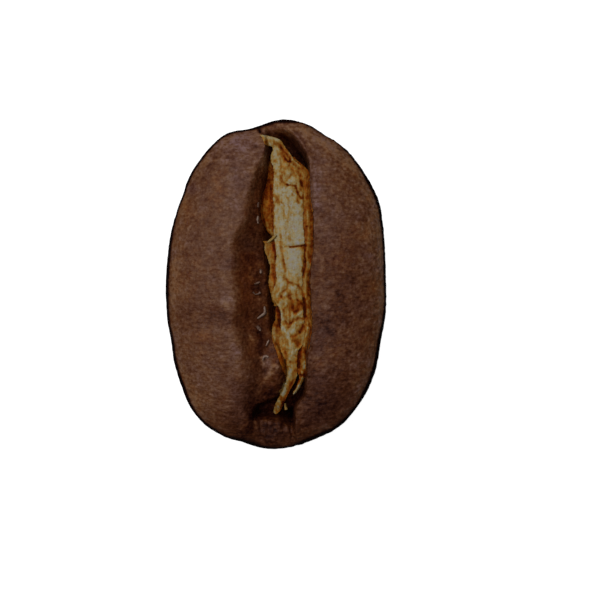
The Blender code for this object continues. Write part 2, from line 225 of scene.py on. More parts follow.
# Wrinkles, pits and painted glints: (half width in pixels, change in tone, then x and y of each
# point of the path, in pixels). A mark rises by MARK_RISE mm for a change of 1. Its change in tone
# is partly the roast's own colour and partly painted: a highlight on the raised marks, shade in the
# sunk ones.
BEAN_MARKS = (
    (1.3, 0.13, 221.5, 143.5, 225, 142), (1.3, 0.12, 230.5, 141, 234, 143),
    (1.4, 0.15, 223, 147, 228.5, 148.5, 232, 148.2), (1.1, 0.11, 221, 151.5, 228, 150.5, 236, 148),
    (1.1, -0.16, 224, 153.2, 232, 152.6, 237, 150.5, 240, 151.5),
    (1.1, 0.09, 225, 155.5, 232, 156.2, 238, 154.8),
    (1.3, -0.15, 227.5, 158.5, 231, 157.6, 235, 157.2),
    (1.7, -0.13, 209, 151, 212, 154, 214.5, 153.5),
    (1.4, -0.14, 214.5, 158.4, 217.5, 158.3, 221, 157.4), (1.6, 0.15, 211.8, 160, 214.8, 160.6),
    (1.4, 0.13, 206, 170.5, 207, 172), (1.3, 0.11, 199, 175.2, 200.5, 176),
    (1.6, -0.1, 209.5, 168, 214, 166), (1.3, -0.1, 216.5, 175.5, 219, 175),
    (1.2, -0.12, 202.3, 177, 201.3, 181.5, 202, 185), (3.2, -0.16, 193, 184, 193.8, 191),
    (1.3, -0.14, 203.3, 188, 206.6, 188.3), (1.2, -0.11, 206.3, 200.3, 210, 204.3),
    (1.2, 0.1, 215.3, 200.3, 217.3, 204.8), (2.2, 0.08, 241.5, 140, 242, 149),
    (1.6, 0.26, 258.3, 143.3, 259.3, 145.5), (1.8, -0.42, 258.5, 130.5, 260.5, 132.8, 263.5, 134.8),
    (2.0, -0.24, 294, 131.3, 300, 136.5, 303.5, 142.5, 306, 149, 307.3, 155),
    (2.0, -0.2, 265, 132.3, 276, 133.5, 284, 137), (2.2, 0.3, 251, 158, 255, 160),
    (1.7, 0.14, 255.5, 163, 254.5, 168), (2.2, 0.12, 253, 152.5, 259, 151),
    (2.0, -0.08, 237, 178, 238.5, 182), (1.3, 0.09, 237.8, 168, 239, 174),
    (1.2, -0.09, 223.5, 187, 228, 188.5), (1.8, 0.08, 234.5, 198, 238, 205),
    (2.5, 0.11, 228.5, 239, 229.5, 243), (1.4, 0.1, 203, 235, 204, 236.5),
    (1.3, -0.1, 197.5, 238, 199, 239.5), (1.3, -0.1, 213.8, 245.3, 215.3, 246),
    (2.5, -0.08, 192, 250, 195, 249), (1.5, -0.11, 220.2, 252.2, 222.2, 253),
    (1.2, -0.09, 187.3, 248.8, 188, 255), (1.8, 0.12, 174.7, 261, 174.7, 264),
    (3.2, -0.13, 229, 267.3, 235, 262.5), (1.2, -0.09, 186.6, 270.5, 192.9, 276.8),
    (2.8, 0.1, 225, 279, 227, 281.5), (1.7, -0.1, 220.5, 287, 220.2, 294),
    (2.8, 0.12, 232.5, 294.5, 233, 299), (2.2, 0.18, 222.3, 300.6, 227, 303, 229.3, 306.9),
    (3.6, -0.1, 217.5, 315, 222, 314.5), (1.3, -0.13, 199, 321, 199.3, 323.8),
    (2.8, -0.08, 183.8, 309, 184, 313), (1.3, 0.09, 195.5, 314.2, 196.6, 314.2),
    (1.6, -0.08, 196.7, 354.2, 206.7, 355.8), (2.0, -0.09, 191, 370, 197.5, 374.5),
    (1.5, 0.1, 191.2, 376, 192.3, 377.5), (1.4, 0.11, 195.5, 387, 198.3, 390),
    (1.4, -0.14, 190, 391, 191.8, 391.6), (2.0, -0.09, 204, 388, 207, 387.8),
    (2.0, -0.09, 218, 400, 221, 399.5), (1.6, 0.1, 224.5, 406.5, 227, 408.5),
    (2.2, -0.12, 239.5, 417, 242, 418), (2.5, 0.12, 219.5, 425, 222.5, 427),
    (1.5, 0.12, 256, 252, 257.3, 253.2), (2.2, 0.1, 258.5, 264.8, 260.5, 264),
    (1.7, 0.16, 250.5, 268.5, 251.6, 269.8), (1.7, 0.14, 253.5, 273, 255.3, 271.8),
    (2.4, 0.13, 249.5, 277, 252.5, 279.5), (2.0, -0.1, 246.5, 255.5, 248.5, 256.5),
    (1.6, -0.12, 256.5, 275.5, 258, 277), (2.6, -0.14, 255, 288.5, 258.5, 288.8),
    (1.7, -0.2, 265.7, 283, 265.9, 287), (1.5, 0.14, 260, 297, 260.5, 300.5),
    (2.0, -0.12, 268.3, 298, 268.3, 302.5), (1.7, 0.16, 266.6, 318.3, 268.8, 315.8),
    (2.0, -0.2, 258.3, 332.3, 260, 333), (1.7, 0.2, 250.3, 335.6, 252.9, 341.5),
    (3.0, -0.12, 268.5, 321, 269.5, 327), (1.6, 0.24, 262, 357, 262.5, 361, 264.5, 363.5),
    (1.6, -0.16, 260.5, 351.5, 262, 353.5), (1.6, -0.14, 267.5, 352.5, 269.5, 352.5),
    (1.3, 0.26, 272, 367.5, 274, 364.8, 277.5, 364), (1.2, 0.22, 275.5, 369, 278.5, 366.5),
    (1.3, -0.16, 272.5, 369.8, 277, 371.5), (2.2, 0.22, 270, 373, 272, 370.8),
    (1.7, -0.12, 267.5, 368.5, 266, 371.5), (1.8, 0.15, 268, 375.5, 264, 379.5, 261, 385.5),
    (1.9, 0.15, 258, 391.5, 260.3, 390), (2.4, -0.12, 269, 393.5, 273, 388),
    (1.3, 0.26, 255.3, 421, 256.3, 427), (1.5, 0.2, 261, 425, 262, 427),
    (1.5, 0.18, 263.8, 419.5, 265.7, 420.3), (1.4, 0.16, 269, 420.5, 270.5, 422),
    (1.5, 0.2, 276.2, 422.5, 277, 426), (1.5, 0.18, 280, 427, 280.6, 430),
    (1.6, 0.18, 285.6, 425.5, 286, 430.5), (1.4, 0.16, 292.5, 433, 293.3, 434.3),
    (3.0, -0.14, 251, 414, 248.5, 427, 244, 436), (2.0, -0.12, 259.2, 429, 259, 434),
    (3.2, -0.14, 291.5, 411, 292, 421), (1.8, 0.1, 314.5, 172, 315, 186, 315.3, 196, 315.5, 206),
    (2.0, 0.1, 321, 196, 322, 199), (1.2, 0.13, 335.5, 165, 335.3, 170.5),
    (1.6, 0.15, 343, 166, 344.5, 169.8), (1.6, 0.12, 334, 155.8, 335.3, 156.6),
    (1.4, 0.13, 352.5, 173.5, 352.9, 176), (1.7, -0.09, 319, 147, 327, 149),
    (1.4, -0.11, 334.5, 184, 336, 185), (1.4, -0.13, 318.8, 208.7, 320, 209.3),
    (1.2, -0.14, 344.5, 209.5, 350, 209.3), (1.5, -0.11, 341.5, 205, 343, 206),
    (1.6, -0.13, 353, 192, 358, 193.5, 362, 195.5), (1.6, 0.1, 351, 194.5, 352.5, 193.7),
    (1.3, 0.11, 365.5, 196, 365.9, 199), (1.2, -0.15, 363.5, 205, 364.4, 206.3),
    (4.0, 0.06, 355, 207, 359, 208.5), (3.0, -0.12, 355.5, 219, 359, 219.8),
    (1.3, 0.1, 365, 222, 366.3, 223), (1.5, -0.11, 319.5, 231, 323.5, 232.6),
    (1.4, 0.11, 343.5, 246, 344.6, 244), (1.5, -0.1, 357, 246, 366, 250),
    (3.0, 0.11, 321, 258, 322, 272), (1.4, 0.11, 341.3, 272, 342.7, 270),
    (1.5, -0.14, 350, 277, 353, 278.5, 357, 281.5), (1.4, -0.14, 362.5, 286.5, 368, 286.5),
    (2.8, 0.09, 317, 288, 326, 290), (1.5, -0.12, 311, 292, 320, 293.5),
    (1.4, -0.12, 337.5, 293.5, 339.5, 293.3), (1.5, -0.14, 350.5, 293, 354, 295.5, 358, 297),
    (2.0, 0.17, 325, 307, 326.6, 308), (2.8, 0.09, 319, 314, 322, 315.5),
    (1.3, 0.18, 365, 308, 366, 309.2), (1.4, -0.13, 321.5, 321, 328, 320.5),
    (3.6, -0.11, 323.5, 329, 333, 332), (1.5, 0.13, 339.5, 329, 337, 334.5),
    (2.0, -0.11, 368.5, 328, 371.5, 329.2), (2.0, 0.09, 319.5, 337, 321, 338.5),
    (1.7, 0.12, 319, 349, 315.5, 357), (1.4, -0.11, 330, 343, 331.6, 344.3),
    (1.3, 0.14, 360.7, 350.6, 362, 351.5), (2.0, -0.09, 347, 352, 349.5, 352.8),
    (1.7, -0.11, 313, 371, 320, 370.5), (2.0, -0.14, 317.5, 382, 319.4, 383),
    (2.2, -0.13, 310.5, 397.3, 312.6, 398), (1.9, -0.17, 317.5, 400.5, 320.5, 402.8, 325, 403.5),
    (1.5, 0.14, 316.5, 396.5, 317.8, 395), (2.5, 0.09, 301.5, 402, 301.5, 420),
    (1.6, -0.13, 306, 422.5, 306.8, 424.5), (2.0, 0.1, 319, 428.5, 325, 427, 330, 426),
    (2.6, 0.1, 311.5, 434.5, 315, 435.5), (1.4, -0.1, 340, 404.3, 341.2, 405.3),
    (1.1, 0.15, 353.5, 401.5, 354.3, 402.5),
)
MARK_RISE = 0.05
MARKS_SEED = 91
MARKS_IN_CREASE = 0.8  # how much stronger the marks are in the crease
# The crease's tone along the bean, darker than the lobes' partly as painted shade, how much
# lighter its lump is, how much darker, as painted shade, it is where it falls so far, and its cap's
# tone.
CREASE_TONE_AND_SHADE = (
    (-5.5, 0.42), (-4.0, 0.42), (-3.3, 0.54), (-2.7, 0.62), (-1.7, 0.56), (-0.5, 0.56), (1.0, 0.56),
    (2.0, 0.57), (3.0, 0.57), (4.5, 0.5),
)
LUMP_TONE = 0.06
PIT_SHADE = 0.08
PIT_FALL = (0.80, 1.50)
CAP_TONE = 0.46
UPPER_STREAKS = (2.9, 4.3)  # along the bean, where the lobes' wrinkles get more contrast
# The rim's painted shade: its tone, over how many degrees of latitude the face darkens to it, and
# over how many a painted rim light makes the face lighter inside that. By the angle round the rim,
# in degrees: the latitude where the painted shade begins, how much lighter the painted rim light
# makes it just inside that, and the latitude where it is lightest.
RIM_SHADE = 0.10
RIM_FADE = 5.0
RIM_PAINTED_LIGHT_REACH = 6.5
RIM_START = (
    (-180, 21.8), (-160, 20.0), (-140, 21.5), (-120, 18.8), (-100, 17.2), (-80, 16.8), (-60, 17.6),
    (-40, 21.8), (-20, 19.8), (0, 19.2), (20, 19.0), (40, 19.8), (60, 14.5), (72, 10.5), (80, 10.5),
    (84, 15.0), (88, 19.5), (91, 17.5), (95, 14.5), (105, 14.0), (120, 18.0), (140, 17.3),
    (160, 21.2), (180, 21.8),
)
RIM_PAINTED_LIGHT = (
    (-180, 0.2), (-160, 0.07), (-140, 0.1), (-120, 0.08), (-100, 0.03), (-80, 0.05), (-60, 0.12),
    (-40, 0.06), (-20, 0.14), (0, 0.2), (20, 0.26), (40, 0.08), (60, 0.2), (80, 0.2), (100, 0.14),
    (140, 0.1), (160, 0.1), (180, 0.2),
)
RIM_PAINTED_LIGHT_AT = (
    (-180, 28), (-150, 25), (-120, 22), (-60, 22), (-20, 21), (20, 19.5), (120, 19.5), (150, 24),
    (180, 28),
)
# Below the rim's painted shade the roast lightens again to the dome's own tone: from this
# latitude, over this many degrees, with a ragged edge, and only below these latitudes.
DOME_TONE = 0.80
DOME_START = 1
DOME_FADE = 13
DOME_RAGS = (4, (1.2, 1.2, 0.8), 94, 1)
DOME_LATITUDES = (2, -2)

# The silverskin: how far it lies below the lobes' crest along the bean, how far the panel's middle
# stands above its edges, its thickness, and how far it stays above the bean.
SKIN_SINK = (
    (-4.28, 0.92), (-3.93, 0.8), (-3.39, 0.7), (-2.76, 0.62), (-2.15, 0.58), (-1.45, 0.55),
    (-0.5, 0.52), (0.3, 0.5), (1.2, 0.48), (2.9, 0.48), (3.74, 0.46), (4.15, 0.42), (4.56, 0.35),
    (4.78, 0.22), (4.98, 0.1),
)
PANEL_CROWN = 0.06
SKIN_SHEET = 0.025
SKIN_CLEARANCE = 0.035
# Along the bean, where the strip's tip comes to be stuck to the lobe, and how deep it reaches in.
TIP_STUCK = (4.35, 4.6)
TIP_ROOT = 0.12
# How far the threads lie above the strip, and the flakes above the bean.
THREAD_LIFT = 0.02
FLAKE_LIFT = 0.05

# The sheets' edges: how far they are torn, as (depth, grain, first seed), how much darker they
# are, and how far in. Then the underside's share of the tone, a painted shade under the sheet and
# on its sides, and the least width of a sheet.
EDGE_RAGS = ((0.018, 0.14, 301), (0.016, 0.06, 311))
EDGE_SHADE = 0.06
EDGE_SHADE_REACH = 0.04
UNDERSIDE_SHADE = 0.8
NARROWEST = 0.02

# Crumples and fibres in the skin, as (share, grain), how much lighter a crumple is for each mm
# that it rises, a painted light on its ridges and painted shade in its hollows, and stains, as
# (middle, swing, grain).
CRUMPLES = ((0.6, 0.34), (0.4, 0.15))
CRUMPLE_PAINTED_LIGHT = 4
FIBRES = ((0.6, (0.05, 0.35, 1)), (0.4, 0.05))
STAINS = (0.3, 1.1, (0.13, 0.20, 1))
# How far marks stray from their paths, as (distance, grain), how their strength varies along them,
# as (middle, swing, grain), and how much of their rise they get.
MARK_WANDER = ((0.022, 0.13), (0.010, 0.05))
MARK_STRENGTH = (0.8, 0.4, 0.14)
MARK_HEIGHT = 0.4

# How the widths of threads and flakes vary, how they arch across and curl up at their ends, how
# much darker their edges are, and the flakes' mottling, as (change in tone, grain).
THREAD_RAGS = (0.25, 0.06, 601, 1)
THREAD_ARCH = 0.9
THREAD_CURL = 0.05
THREAD_SHADE = 0.12
FLAKE_SHADE = 0.15
FLAKE_MOTTLE = (0.3, 0.1)
FLAKE_SEED = 700

# The main panel: its left and right edge, as paths of pixels, and how crumpled it is along the
# bean, its tone, and how strong its golden stains are.
PANEL_LEFT = (
    (260.2, 136.1), (262, 138.6), (263.3, 141.4), (265.8, 146.3), (272.3, 147.6), (273, 151.3),
    (271.3, 154.7), (271, 162), (273.5, 168), (274, 178), (273.6, 190), (273.4, 200), (274.6, 208),
    (274.4, 214), (274, 222), (274, 230), (274.7, 240), (275.9, 248), (276.6, 256), (275.8, 266),
    (276.3, 274), (277, 280), (275.5, 285), (273, 290), (272.4, 295), (273.4, 300), (276.3, 304),
    (279.3, 307.5), (280.7, 312), (281.3, 320), (281, 327), (280, 333), (279.5, 340), (280.5, 348),
    (282.5, 356), (284.5, 363), (286, 370), (285.5, 376), (284, 382), (282, 387), (279.5, 391),
    (280, 395), (277.5, 399), (276, 403), (274, 408), (273.5, 411), (275, 414),
)
PANEL_RIGHT = (
    (262.8, 135.7), (270, 137.3), (277.5, 139.6), (282, 142.6), (285, 147.8), (290.5, 155),
    (295, 162), (300, 166), (303, 172), (304, 182), (304, 196), (303.5, 205), (303, 225),
    (304.5, 240), (304.5, 244), (302, 246.5), (304, 250), (303.5, 262), (302, 272), (302.5, 282),
    (302, 292), (302.5, 300), (303, 312), (304, 320), (305, 330), (304, 340), (301, 347),
    (298, 351), (297, 358), (297, 366), (297, 374), (295, 381), (291, 388), (287, 396),
    (283.5, 404), (280, 411), (276.5, 415),
)
PANEL_CRUMPLE = (
    (-4.3, 0.018), (-2.2, 0.02), (-1.9, 0.03), (-0.3, 0.03), (0.0, 0.014), (1.3, 0.01), (2.9, 0.01),
    (3.3, 0.018), (5.0, 0.018),
)
PANEL_TONE = (
    (-4.3, 0.75), (-2.9, 0.78), (-2.4, 0.78), (-0.6, 0.78), (-0.1, 0.84), (0.3, 0.93), (2.6, 0.92),
    (3.4, 0.83), (4.9, 0.84),
)
PANEL_STAINS = (
    (-4.3, 0.24), (-0.3, 0.26), (0.2, 0.14), (1.9, 0.1), (2.3, 0.2), (3.0, 0.28), (5.0, 0.24),
)
# Folds, cracks and stains: (half width in pixels, change in tone, rise in mm, then x and y of each
# point of the path, in pixels). Here and in the other sheets' marks, the tone is partly the skin's
# own stains and partly painted: shade in the sunk cracks, a highlight on the raised folds.
PANEL_MARKS = (
    (1.1, -0.45, -0.02, 266.6, 142.3, 267.6, 146), (1.4, 0.28, 0.0, 265.3, 137.5, 266.3, 141.5),
    (1.3, 0.2, 0.0, 269.3, 143.5, 270.3, 146), (2.4, 0.18, 0.02, 269, 139, 275, 140, 281, 143),
    (1.5, -0.32, -0.02, 275.5, 143.5, 277, 145), (1.3, -0.22, 0.0, 281, 143, 281, 145),
    (2.2, -0.52, -0.03, 279.2, 145.8, 281.8, 149.3),
    (1.5, -0.62, -0.05, 281.4, 149.3, 284.5, 153, 287.4, 156.5, 289.8, 159.8),
    (1.5, -0.26, 0.0, 283.5, 147.5, 287, 152, 290, 156.5),
    (1.1, 0.12, 0.04, 284, 144, 287.5, 150, 291, 154.5, 294.5, 160, 300, 165.5),
    (1.1, -0.65, -0.04, 284.5, 157, 286.5, 161, 288, 162.5, 290.5, 162.5),
    (1.0, 0.22, 0.02, 287, 157.5, 288.8, 160),
    (1.6, -0.42, -0.02, 290, 161.5, 294, 164, 298.5, 168.5),
    (2.6, 0.16, 0.03, 275.5, 151, 274.5, 158), (1.2, -0.28, -0.01, 275, 161, 276, 163),
    (1.1, -0.22, -0.02, 281, 152, 280.5, 160, 281.5, 168, 282, 176),
    (1.2, -0.4, -0.03, 281, 177, 282, 179.5), (1.2, -0.48, -0.04, 283, 182, 285, 185, 288, 186.3),
    (1.4, -0.28, -0.02, 283, 155, 285, 163), (2.2, 0.14, 0.02, 277.5, 165, 277.5, 178, 277, 190),
    (2.0, 0.12, 0.02, 284, 165, 286, 169, 288, 174),
    (2.4, -0.34, -0.03, 290, 166, 293, 171, 295, 176), (2.0, -0.26, -0.02, 288, 178.5, 293, 175.5),
    (1.1, 0.1, 0.03, 291.5, 164.5, 296, 171, 298.5, 178), (2.8, 0.28, 0.04, 290, 181.5, 294.5, 179),
    (1.0, -0.5, -0.04, 287.5, 185.8, 291, 186.2, 294.5, 187),
    (2.3, 0.2, 0.02, 289.5, 190, 292, 193, 296, 199),
    (1.2, -0.85, -0.06, 295.8, 187, 297, 191.5, 299, 196.5, 301, 199.5),
    (1.2, -0.65, -0.04, 301.3, 183, 302.3, 187),
    (2.2, -0.36, -0.02, 300, 170, 300.5, 180, 302.5, 192),
    (1.0, -0.35, -0.02, 292, 194.5, 293.5, 197), (1.8, -0.4, -0.02, 297, 199, 299, 204),
    (1.5, -0.4, -0.02, 303, 196, 303.5, 208), (1.5, 0.16, 0.02, 302, 201, 301, 205),
    (7.0, 0.12, 0.0, 285, 192, 291, 206, 297, 222, 300, 238), (4.0, 0.1, 0.0, 275, 185, 277, 195),
    (2.1, -0.32, -0.015, 278, 198.5, 280, 203), (1.2, -0.3, -0.01, 275.5, 203, 277, 201),
    (1.1, -0.26, -0.015, 282, 208, 284, 214, 285.5, 219), (2.8, 0.12, 0.01, 283, 224, 281, 232),
    (2.2, -0.12, 0.0, 290, 209, 291, 216), (2.3, -0.16, 0.0, 288.5, 238, 291, 241),
    (1.8, -0.14, 0.0, 296, 227, 297, 230), (1.1, -0.22, -0.01, 280.5, 229, 281, 240),
    (1.3, -0.14, -0.01, 286.5, 222, 286, 234), (1.1, -0.28, -0.02, 275, 227, 276.3, 233),
    (1.3, 0.12, 0.04, 286, 244, 295, 243.2, 303, 242),
    (1.0, -1.1, -0.07, 290, 247.7, 295, 247.1, 300, 246.6, 304, 246.2),
    (1.5, -1.1, -0.1, 304.3, 246, 305.5, 247.2), (1.0, -0.3, -0.01, 285, 247.2, 290, 247.3),
    (6.0, 0.12, 0.0, 293, 254, 296, 264, 294, 274),
    (1.5, -0.46, -0.03, 281, 243, 281.3, 250, 283, 257, 283.5, 263, 285, 270, 284, 280),
    (0.9, -0.25, -0.02, 283.3, 260, 284.5, 265),
    (1.2, -0.45, -0.03, 303, 249, 303.5, 256, 303, 262),
    (1.2, -0.85, -0.06, 304.5, 263, 303.5, 269, 302.6, 271.5),
    (1.6, -0.25, 0.0, 297, 275, 298.5, 281, 300, 278), (2.4, -0.12, 0.0, 291, 273, 292, 278),
    (2.6, 0.18, 0.03, 280, 281, 283, 286),
    (1.2, -0.45, -0.05, 286.5, 279, 288, 282, 287, 289, 282.5, 292, 281, 296),
    (2.4, 0.2, 0.04, 291, 290, 295, 287.5),
    (1.3, -0.42, -0.04, 290, 283, 295, 284.5, 299, 285.5, 301.5, 289),
    (2.0, 0.12, 0.03, 277, 295, 280, 290), (1.2, -0.35, -0.03, 279, 299, 282, 296.5),
    (1.3, 0.2, 0.04, 283, 297, 286.5, 293.5), (1.6, -0.55, -0.04, 288, 296, 291, 294),
    (1.4, 0.28, 0.05, 286.3, 300, 286, 306), (1.8, -0.3, -0.02, 290.5, 299, 291, 304),
    (4.2, -0.42, -0.05, 290, 308, 296, 308, 300, 305),
    (1.6, -0.35, -0.04, 294.5, 312, 297.5, 310.5), (1.4, -0.4, -0.03, 298, 300, 302, 304),
    (1.4, 0.24, 0.05, 279.5, 304, 281.5, 312, 282, 320, 283, 328),
    (1.2, -0.22, -0.03, 283.7, 310, 284.5, 318), (1.1, 0.2, 0.04, 288.3, 311, 288.3, 319),
    (1.1, 0.2, 0.04, 292, 312, 292.5, 317), (1.2, 0.26, 0.05, 296.5, 316, 300, 313, 302, 311),
    (1.4, -0.32, -0.03, 293, 320, 298, 318.5, 303, 319),
    (1.5, -0.5, -0.05, 286, 321.5, 288.5, 326.5, 290.5, 322),
    (1.0, -0.4, -0.03, 293, 319, 292, 322), (1.9, 0.3, 0.05, 295.5, 323, 294, 328, 292, 332),
    (2.1, 0.32, 0.05, 283, 329, 286, 333, 289, 335.5), (1.3, 0.18, 0.04, 301, 322, 303, 321),
    (1.7, -0.85, -0.06, 303, 325.5, 301.3, 328.5, 300, 332),
    (1.4, -0.3, -0.03, 290.5, 336, 294, 335.5, 297.5, 335),
    (3.0, -0.5, -0.07, 296.5, 340, 298.5, 343),
    (1.9, 0.34, 0.06, 288, 337, 291, 343, 293, 350, 292.3, 358),
    (1.2, 0.22, 0.06, 305.5, 326, 303.5, 336, 302.5, 344, 299, 348.5, 296, 350.5),
    (2.2, 0.06, 0.03, 283, 341, 285, 347), (1.4, -0.25, -0.03, 285, 337, 288, 345),
    (1.7, -0.3, -0.03, 285, 352, 286.5, 359), (2.0, -0.26, -0.02, 291, 361.5, 294.5, 361),
    (1.6, 0.14, 0.03, 282, 351, 283.5, 360, 285.5, 366),
    (1.8, 0.28, 0.04, 290.5, 368, 289.5, 374, 287.5, 380), (1.4, -0.1, 0.02, 294, 366, 294.5, 376),
    (1.1, 0.15, 0.0, 291.3, 380, 290.5, 383), (1.3, -0.2, -0.02, 287, 366, 285.5, 377, 284.5, 382),
    (1.9, -0.42, -0.04, 293.4, 379, 289.6, 388, 286.2, 395, 283.4, 401),
    (1.4, 0.3, 0.02, 283.6, 391, 284, 396), (1.9, 0.44, 0.04, 285.9, 383.5, 285, 389, 283.3, 393),
    (1.3, 0.3, 0.03, 280.5, 391.5, 281.5, 394), (1.2, 0.16, 0.02, 277.5, 400, 279, 401.5),
    (1.3, -0.3, -0.02, 281, 397, 282, 401), (1.3, -0.6, -0.04, 284.5, 400, 282.5, 406, 281, 409),
    (1.2, 0.26, 0.02, 278, 406.5, 279, 407), (3.0, -0.1, 0.0, 278, 404, 277, 412),
)

# The margin between the panel and the crease's right wall. It lies below the panel, whose edge
# covers it, and has a fold along it: (height, where across it, half width).
MARGIN_UNDER = 0.03
MARGIN_FOLD = (0.05, 0.55, 0.25)
MARGIN_LEFT = (
    (291, 158), (297, 165), (299.5, 172), (301, 185), (301.5, 200), (301.5, 245), (301, 262),
    (300.5, 285), (301, 300), (301.5, 318), (301, 330), (299.5, 345), (297.5, 352), (296.5, 360),
    (296.8, 370), (299.4, 377), (298.2, 381), (295.8, 388), (292.8, 394),
)
MARGIN_RIGHT = (
    (295, 158), (303, 166), (309, 173), (310, 185), (310.5, 200), (313, 215), (313, 240),
    (312.5, 258), (310.3, 275), (310.3, 300), (312, 322), (310.3, 340), (308.3, 352), (307, 365),
    (306.5, 374), (303.4, 379), (301.2, 384), (297.6, 390.5), (293.6, 395.5),
)
MARGIN_MARKS = (
    (1.2, 0.16, 0.02, 304, 186, 304, 200),
    (1.2, 0.22, 0.03, 307.3, 212, 308, 225, 309.3, 234, 308.3, 243),
    (1.4, -0.18, -0.02, 309.5, 205, 311.5, 220, 312, 238, 311, 262),
    (1.6, -0.2, -0.03, 305.5, 224, 307, 231), (1.2, 0.18, 0.03, 307, 245, 306.5, 255, 307, 262),
    (1.5, 0.36, 0.04, 308.3, 264, 307.8, 268.5), (1.3, -0.34, -0.03, 309.5, 271, 308.5, 276),
    (1.4, -0.8, -0.04, 303.5, 244.5, 306, 246.5), (1.2, -0.34, -0.04, 304.7, 248, 304.7, 262),
    (1.2, -0.5, -0.05, 305.3, 262, 304, 270, 302.5, 275),
    (1.5, 0.28, 0.03, 305.5, 275, 305, 283, 304.7, 290, 305.5, 297),
    (1.2, -0.28, -0.02, 308.5, 282, 308.8, 296),
    (1.9, -0.85, -0.06, 303.6, 299, 304.4, 308, 304.5, 316),
    (1.3, 0.22, 0.03, 307, 301, 307.8, 312, 308.3, 322), (1.1, 0.18, 0.03, 309, 320, 311, 323),
    (1.5, 0.26, 0.03, 308, 328, 305.5, 335, 304, 344), (1.3, -0.26, -0.02, 310, 327, 308.5, 340),
    (2.0, -0.7, -0.05, 299.6, 349, 298.6, 358, 298.4, 366),
    (1.6, 0.72, 0.03, 304.2, 362, 304.3, 367), (1.4, 0.28, 0.02, 307.4, 323, 308.3, 328),
    (1.3, 0.5, 0.02, 301.6, 370.8, 301.8, 372.2), (1.3, -0.4, -0.03, 300.5, 374.5, 304.5, 374.5),
    (2.2, -0.36, 0.0, 306.5, 350, 306.7, 365, 305.5, 374),
    (1.0, 0.22, 0.02, 303.3, 350, 303.3, 357),
    (1.5, 0.56, 0.02, 302.3, 378.5, 299.8, 384, 297.3, 389, 294.3, 394),
    (0.9, -0.28, 0.0, 299.3, 379, 296.5, 386),
)

# Two flaps sag to the left of the panel, each (how far where it leaves the panel, how much more
# at its left edge), and ever more steeply towards that edge.
UPPER_FLAP_SAG = (0.07, 0.26)
LOWER_FLAP_SAG = (0.06, 0.14)
SAG_POWER = 1.3
# The upper flap darkens towards its sagging left edge as painted shade.
UPPER_FLAP_TONE_AND_SHADE = (0.38, 0.15)  # at its left edge, and how much lighter at the panel
UPPER_FLAP_LEFT = (
    (270.5, 157), (268.5, 168), (267.5, 180), (265, 190), (262.5, 198), (261, 208), (261.3, 216),
    (263, 222), (266, 229), (269.5, 234), (272, 237),
)
UPPER_FLAP_RIGHT = (
    (275, 157), (276, 168), (276.5, 180), (276.5, 190), (276.5, 200), (277, 210), (277, 222),
    (277, 230), (277.5, 237),
)
UPPER_FLAP_MARKS = (
    (1.1, 0.26, 0.02, 271, 161, 270.3, 166), (1.2, -0.28, -0.03, 273, 165, 273, 180),
    (1.3, -0.34, -0.03, 271.3, 186, 271, 192, 271.3, 200), (1.1, -0.3, -0.03, 272.3, 203, 272, 218),
    (3.5, 0.1, 0.01, 266, 204, 266, 216), (1.1, 0.16, 0.01, 261.8, 206, 261.8, 212),
    (2.0, -0.1, 0.0, 268, 178, 267.5, 190), (1.4, 0.34, 0.02, 266.8, 224, 268.3, 230),
    (1.4, 0.42, 0.03, 271, 231, 272.5, 234.5), (1.3, -0.2, -0.02, 272.3, 222, 273.5, 228),
)

LOWER_FLAP_LEFT = (
    (263.4, 241.5), (265, 245), (264.6, 249), (266.8, 256), (269, 262), (270.4, 268), (269.7, 274),
    (268.9, 280), (269, 286), (270.7, 292), (272, 299), (274.3, 306),
)
LOWER_FLAP_RIGHT = (
    (277, 240.5), (277, 250), (278.5, 258), (279, 272), (279, 280), (278, 290), (277.5, 300),
    (280, 307),
)
LOWER_FLAP_MARKS = (
    (1.7, -0.62, -0.05, 273.2, 241, 273.8, 247, 275.2, 253, 276.3, 260),
    (1.2, 0.14, 0.02, 264, 244, 266, 252, 268.5, 261, 270.5, 268),
    (1.4, -0.16, -0.01, 267.5, 250, 269, 254), (1.2, -0.12, -0.01, 268, 244, 271, 248),
    (1.6, 0.1, 0.01, 270, 255, 272, 262),
    (1.9, -0.4, -0.02, 273.8, 265, 274.6, 274, 275, 283, 274.6, 290),
    (1.2, 0.1, 0.02, 270.3, 268, 269.8, 278, 270.2, 286), (1.6, 0.12, 0.02, 275, 296, 276.5, 303),
)

# The fringe to the left of the panel's narrow end: how far it lies below the panel, and how far,
# and between which shares across, it curls up from the bean.
FRINGE_DROP = 0.075
FRINGE_CURL = 0.06
FRINGE_CURL_ACROSS = (0.7, 0.3)
FRINGE_LEFT = (
    (277.5, 303), (275.8, 311), (275.8, 318), (273.5, 324), (272.2, 330), (272, 336), (273.5, 343),
    (275.8, 349), (278, 355), (279.7, 360.5), (281.7, 365.5), (283.4, 370.5), (285.6, 375),
)
FRINGE_RIGHT = (
    (280, 303), (282.5, 312), (284, 322), (283.5, 331), (283, 340), (284.5, 350), (286.5, 357),
    (288.5, 364), (289.5, 371), (288.5, 376),
)
FRINGE_MARKS = (
    (2.4, -0.62, -0.04, 278, 304, 278.6, 311, 279.4, 318, 280, 325),
    (1.0, 0.1, 0.01, 276.5, 313, 276.3, 320), (1.5, 0.26, 0.03, 273.5, 328, 273.5, 334, 275, 340),
    (2.2, 0.16, 0.02, 278, 333, 280, 342), (1.3, -0.26, -0.02, 277, 325, 277, 333),
    (1.1, -0.2, -0.02, 275.5, 343, 279, 345), (2.4, -0.1, 0.0, 279, 349, 282, 358, 285.5, 368),
    (1.3, 0.14, 0.02, 277.5, 349, 279.5, 353),
)

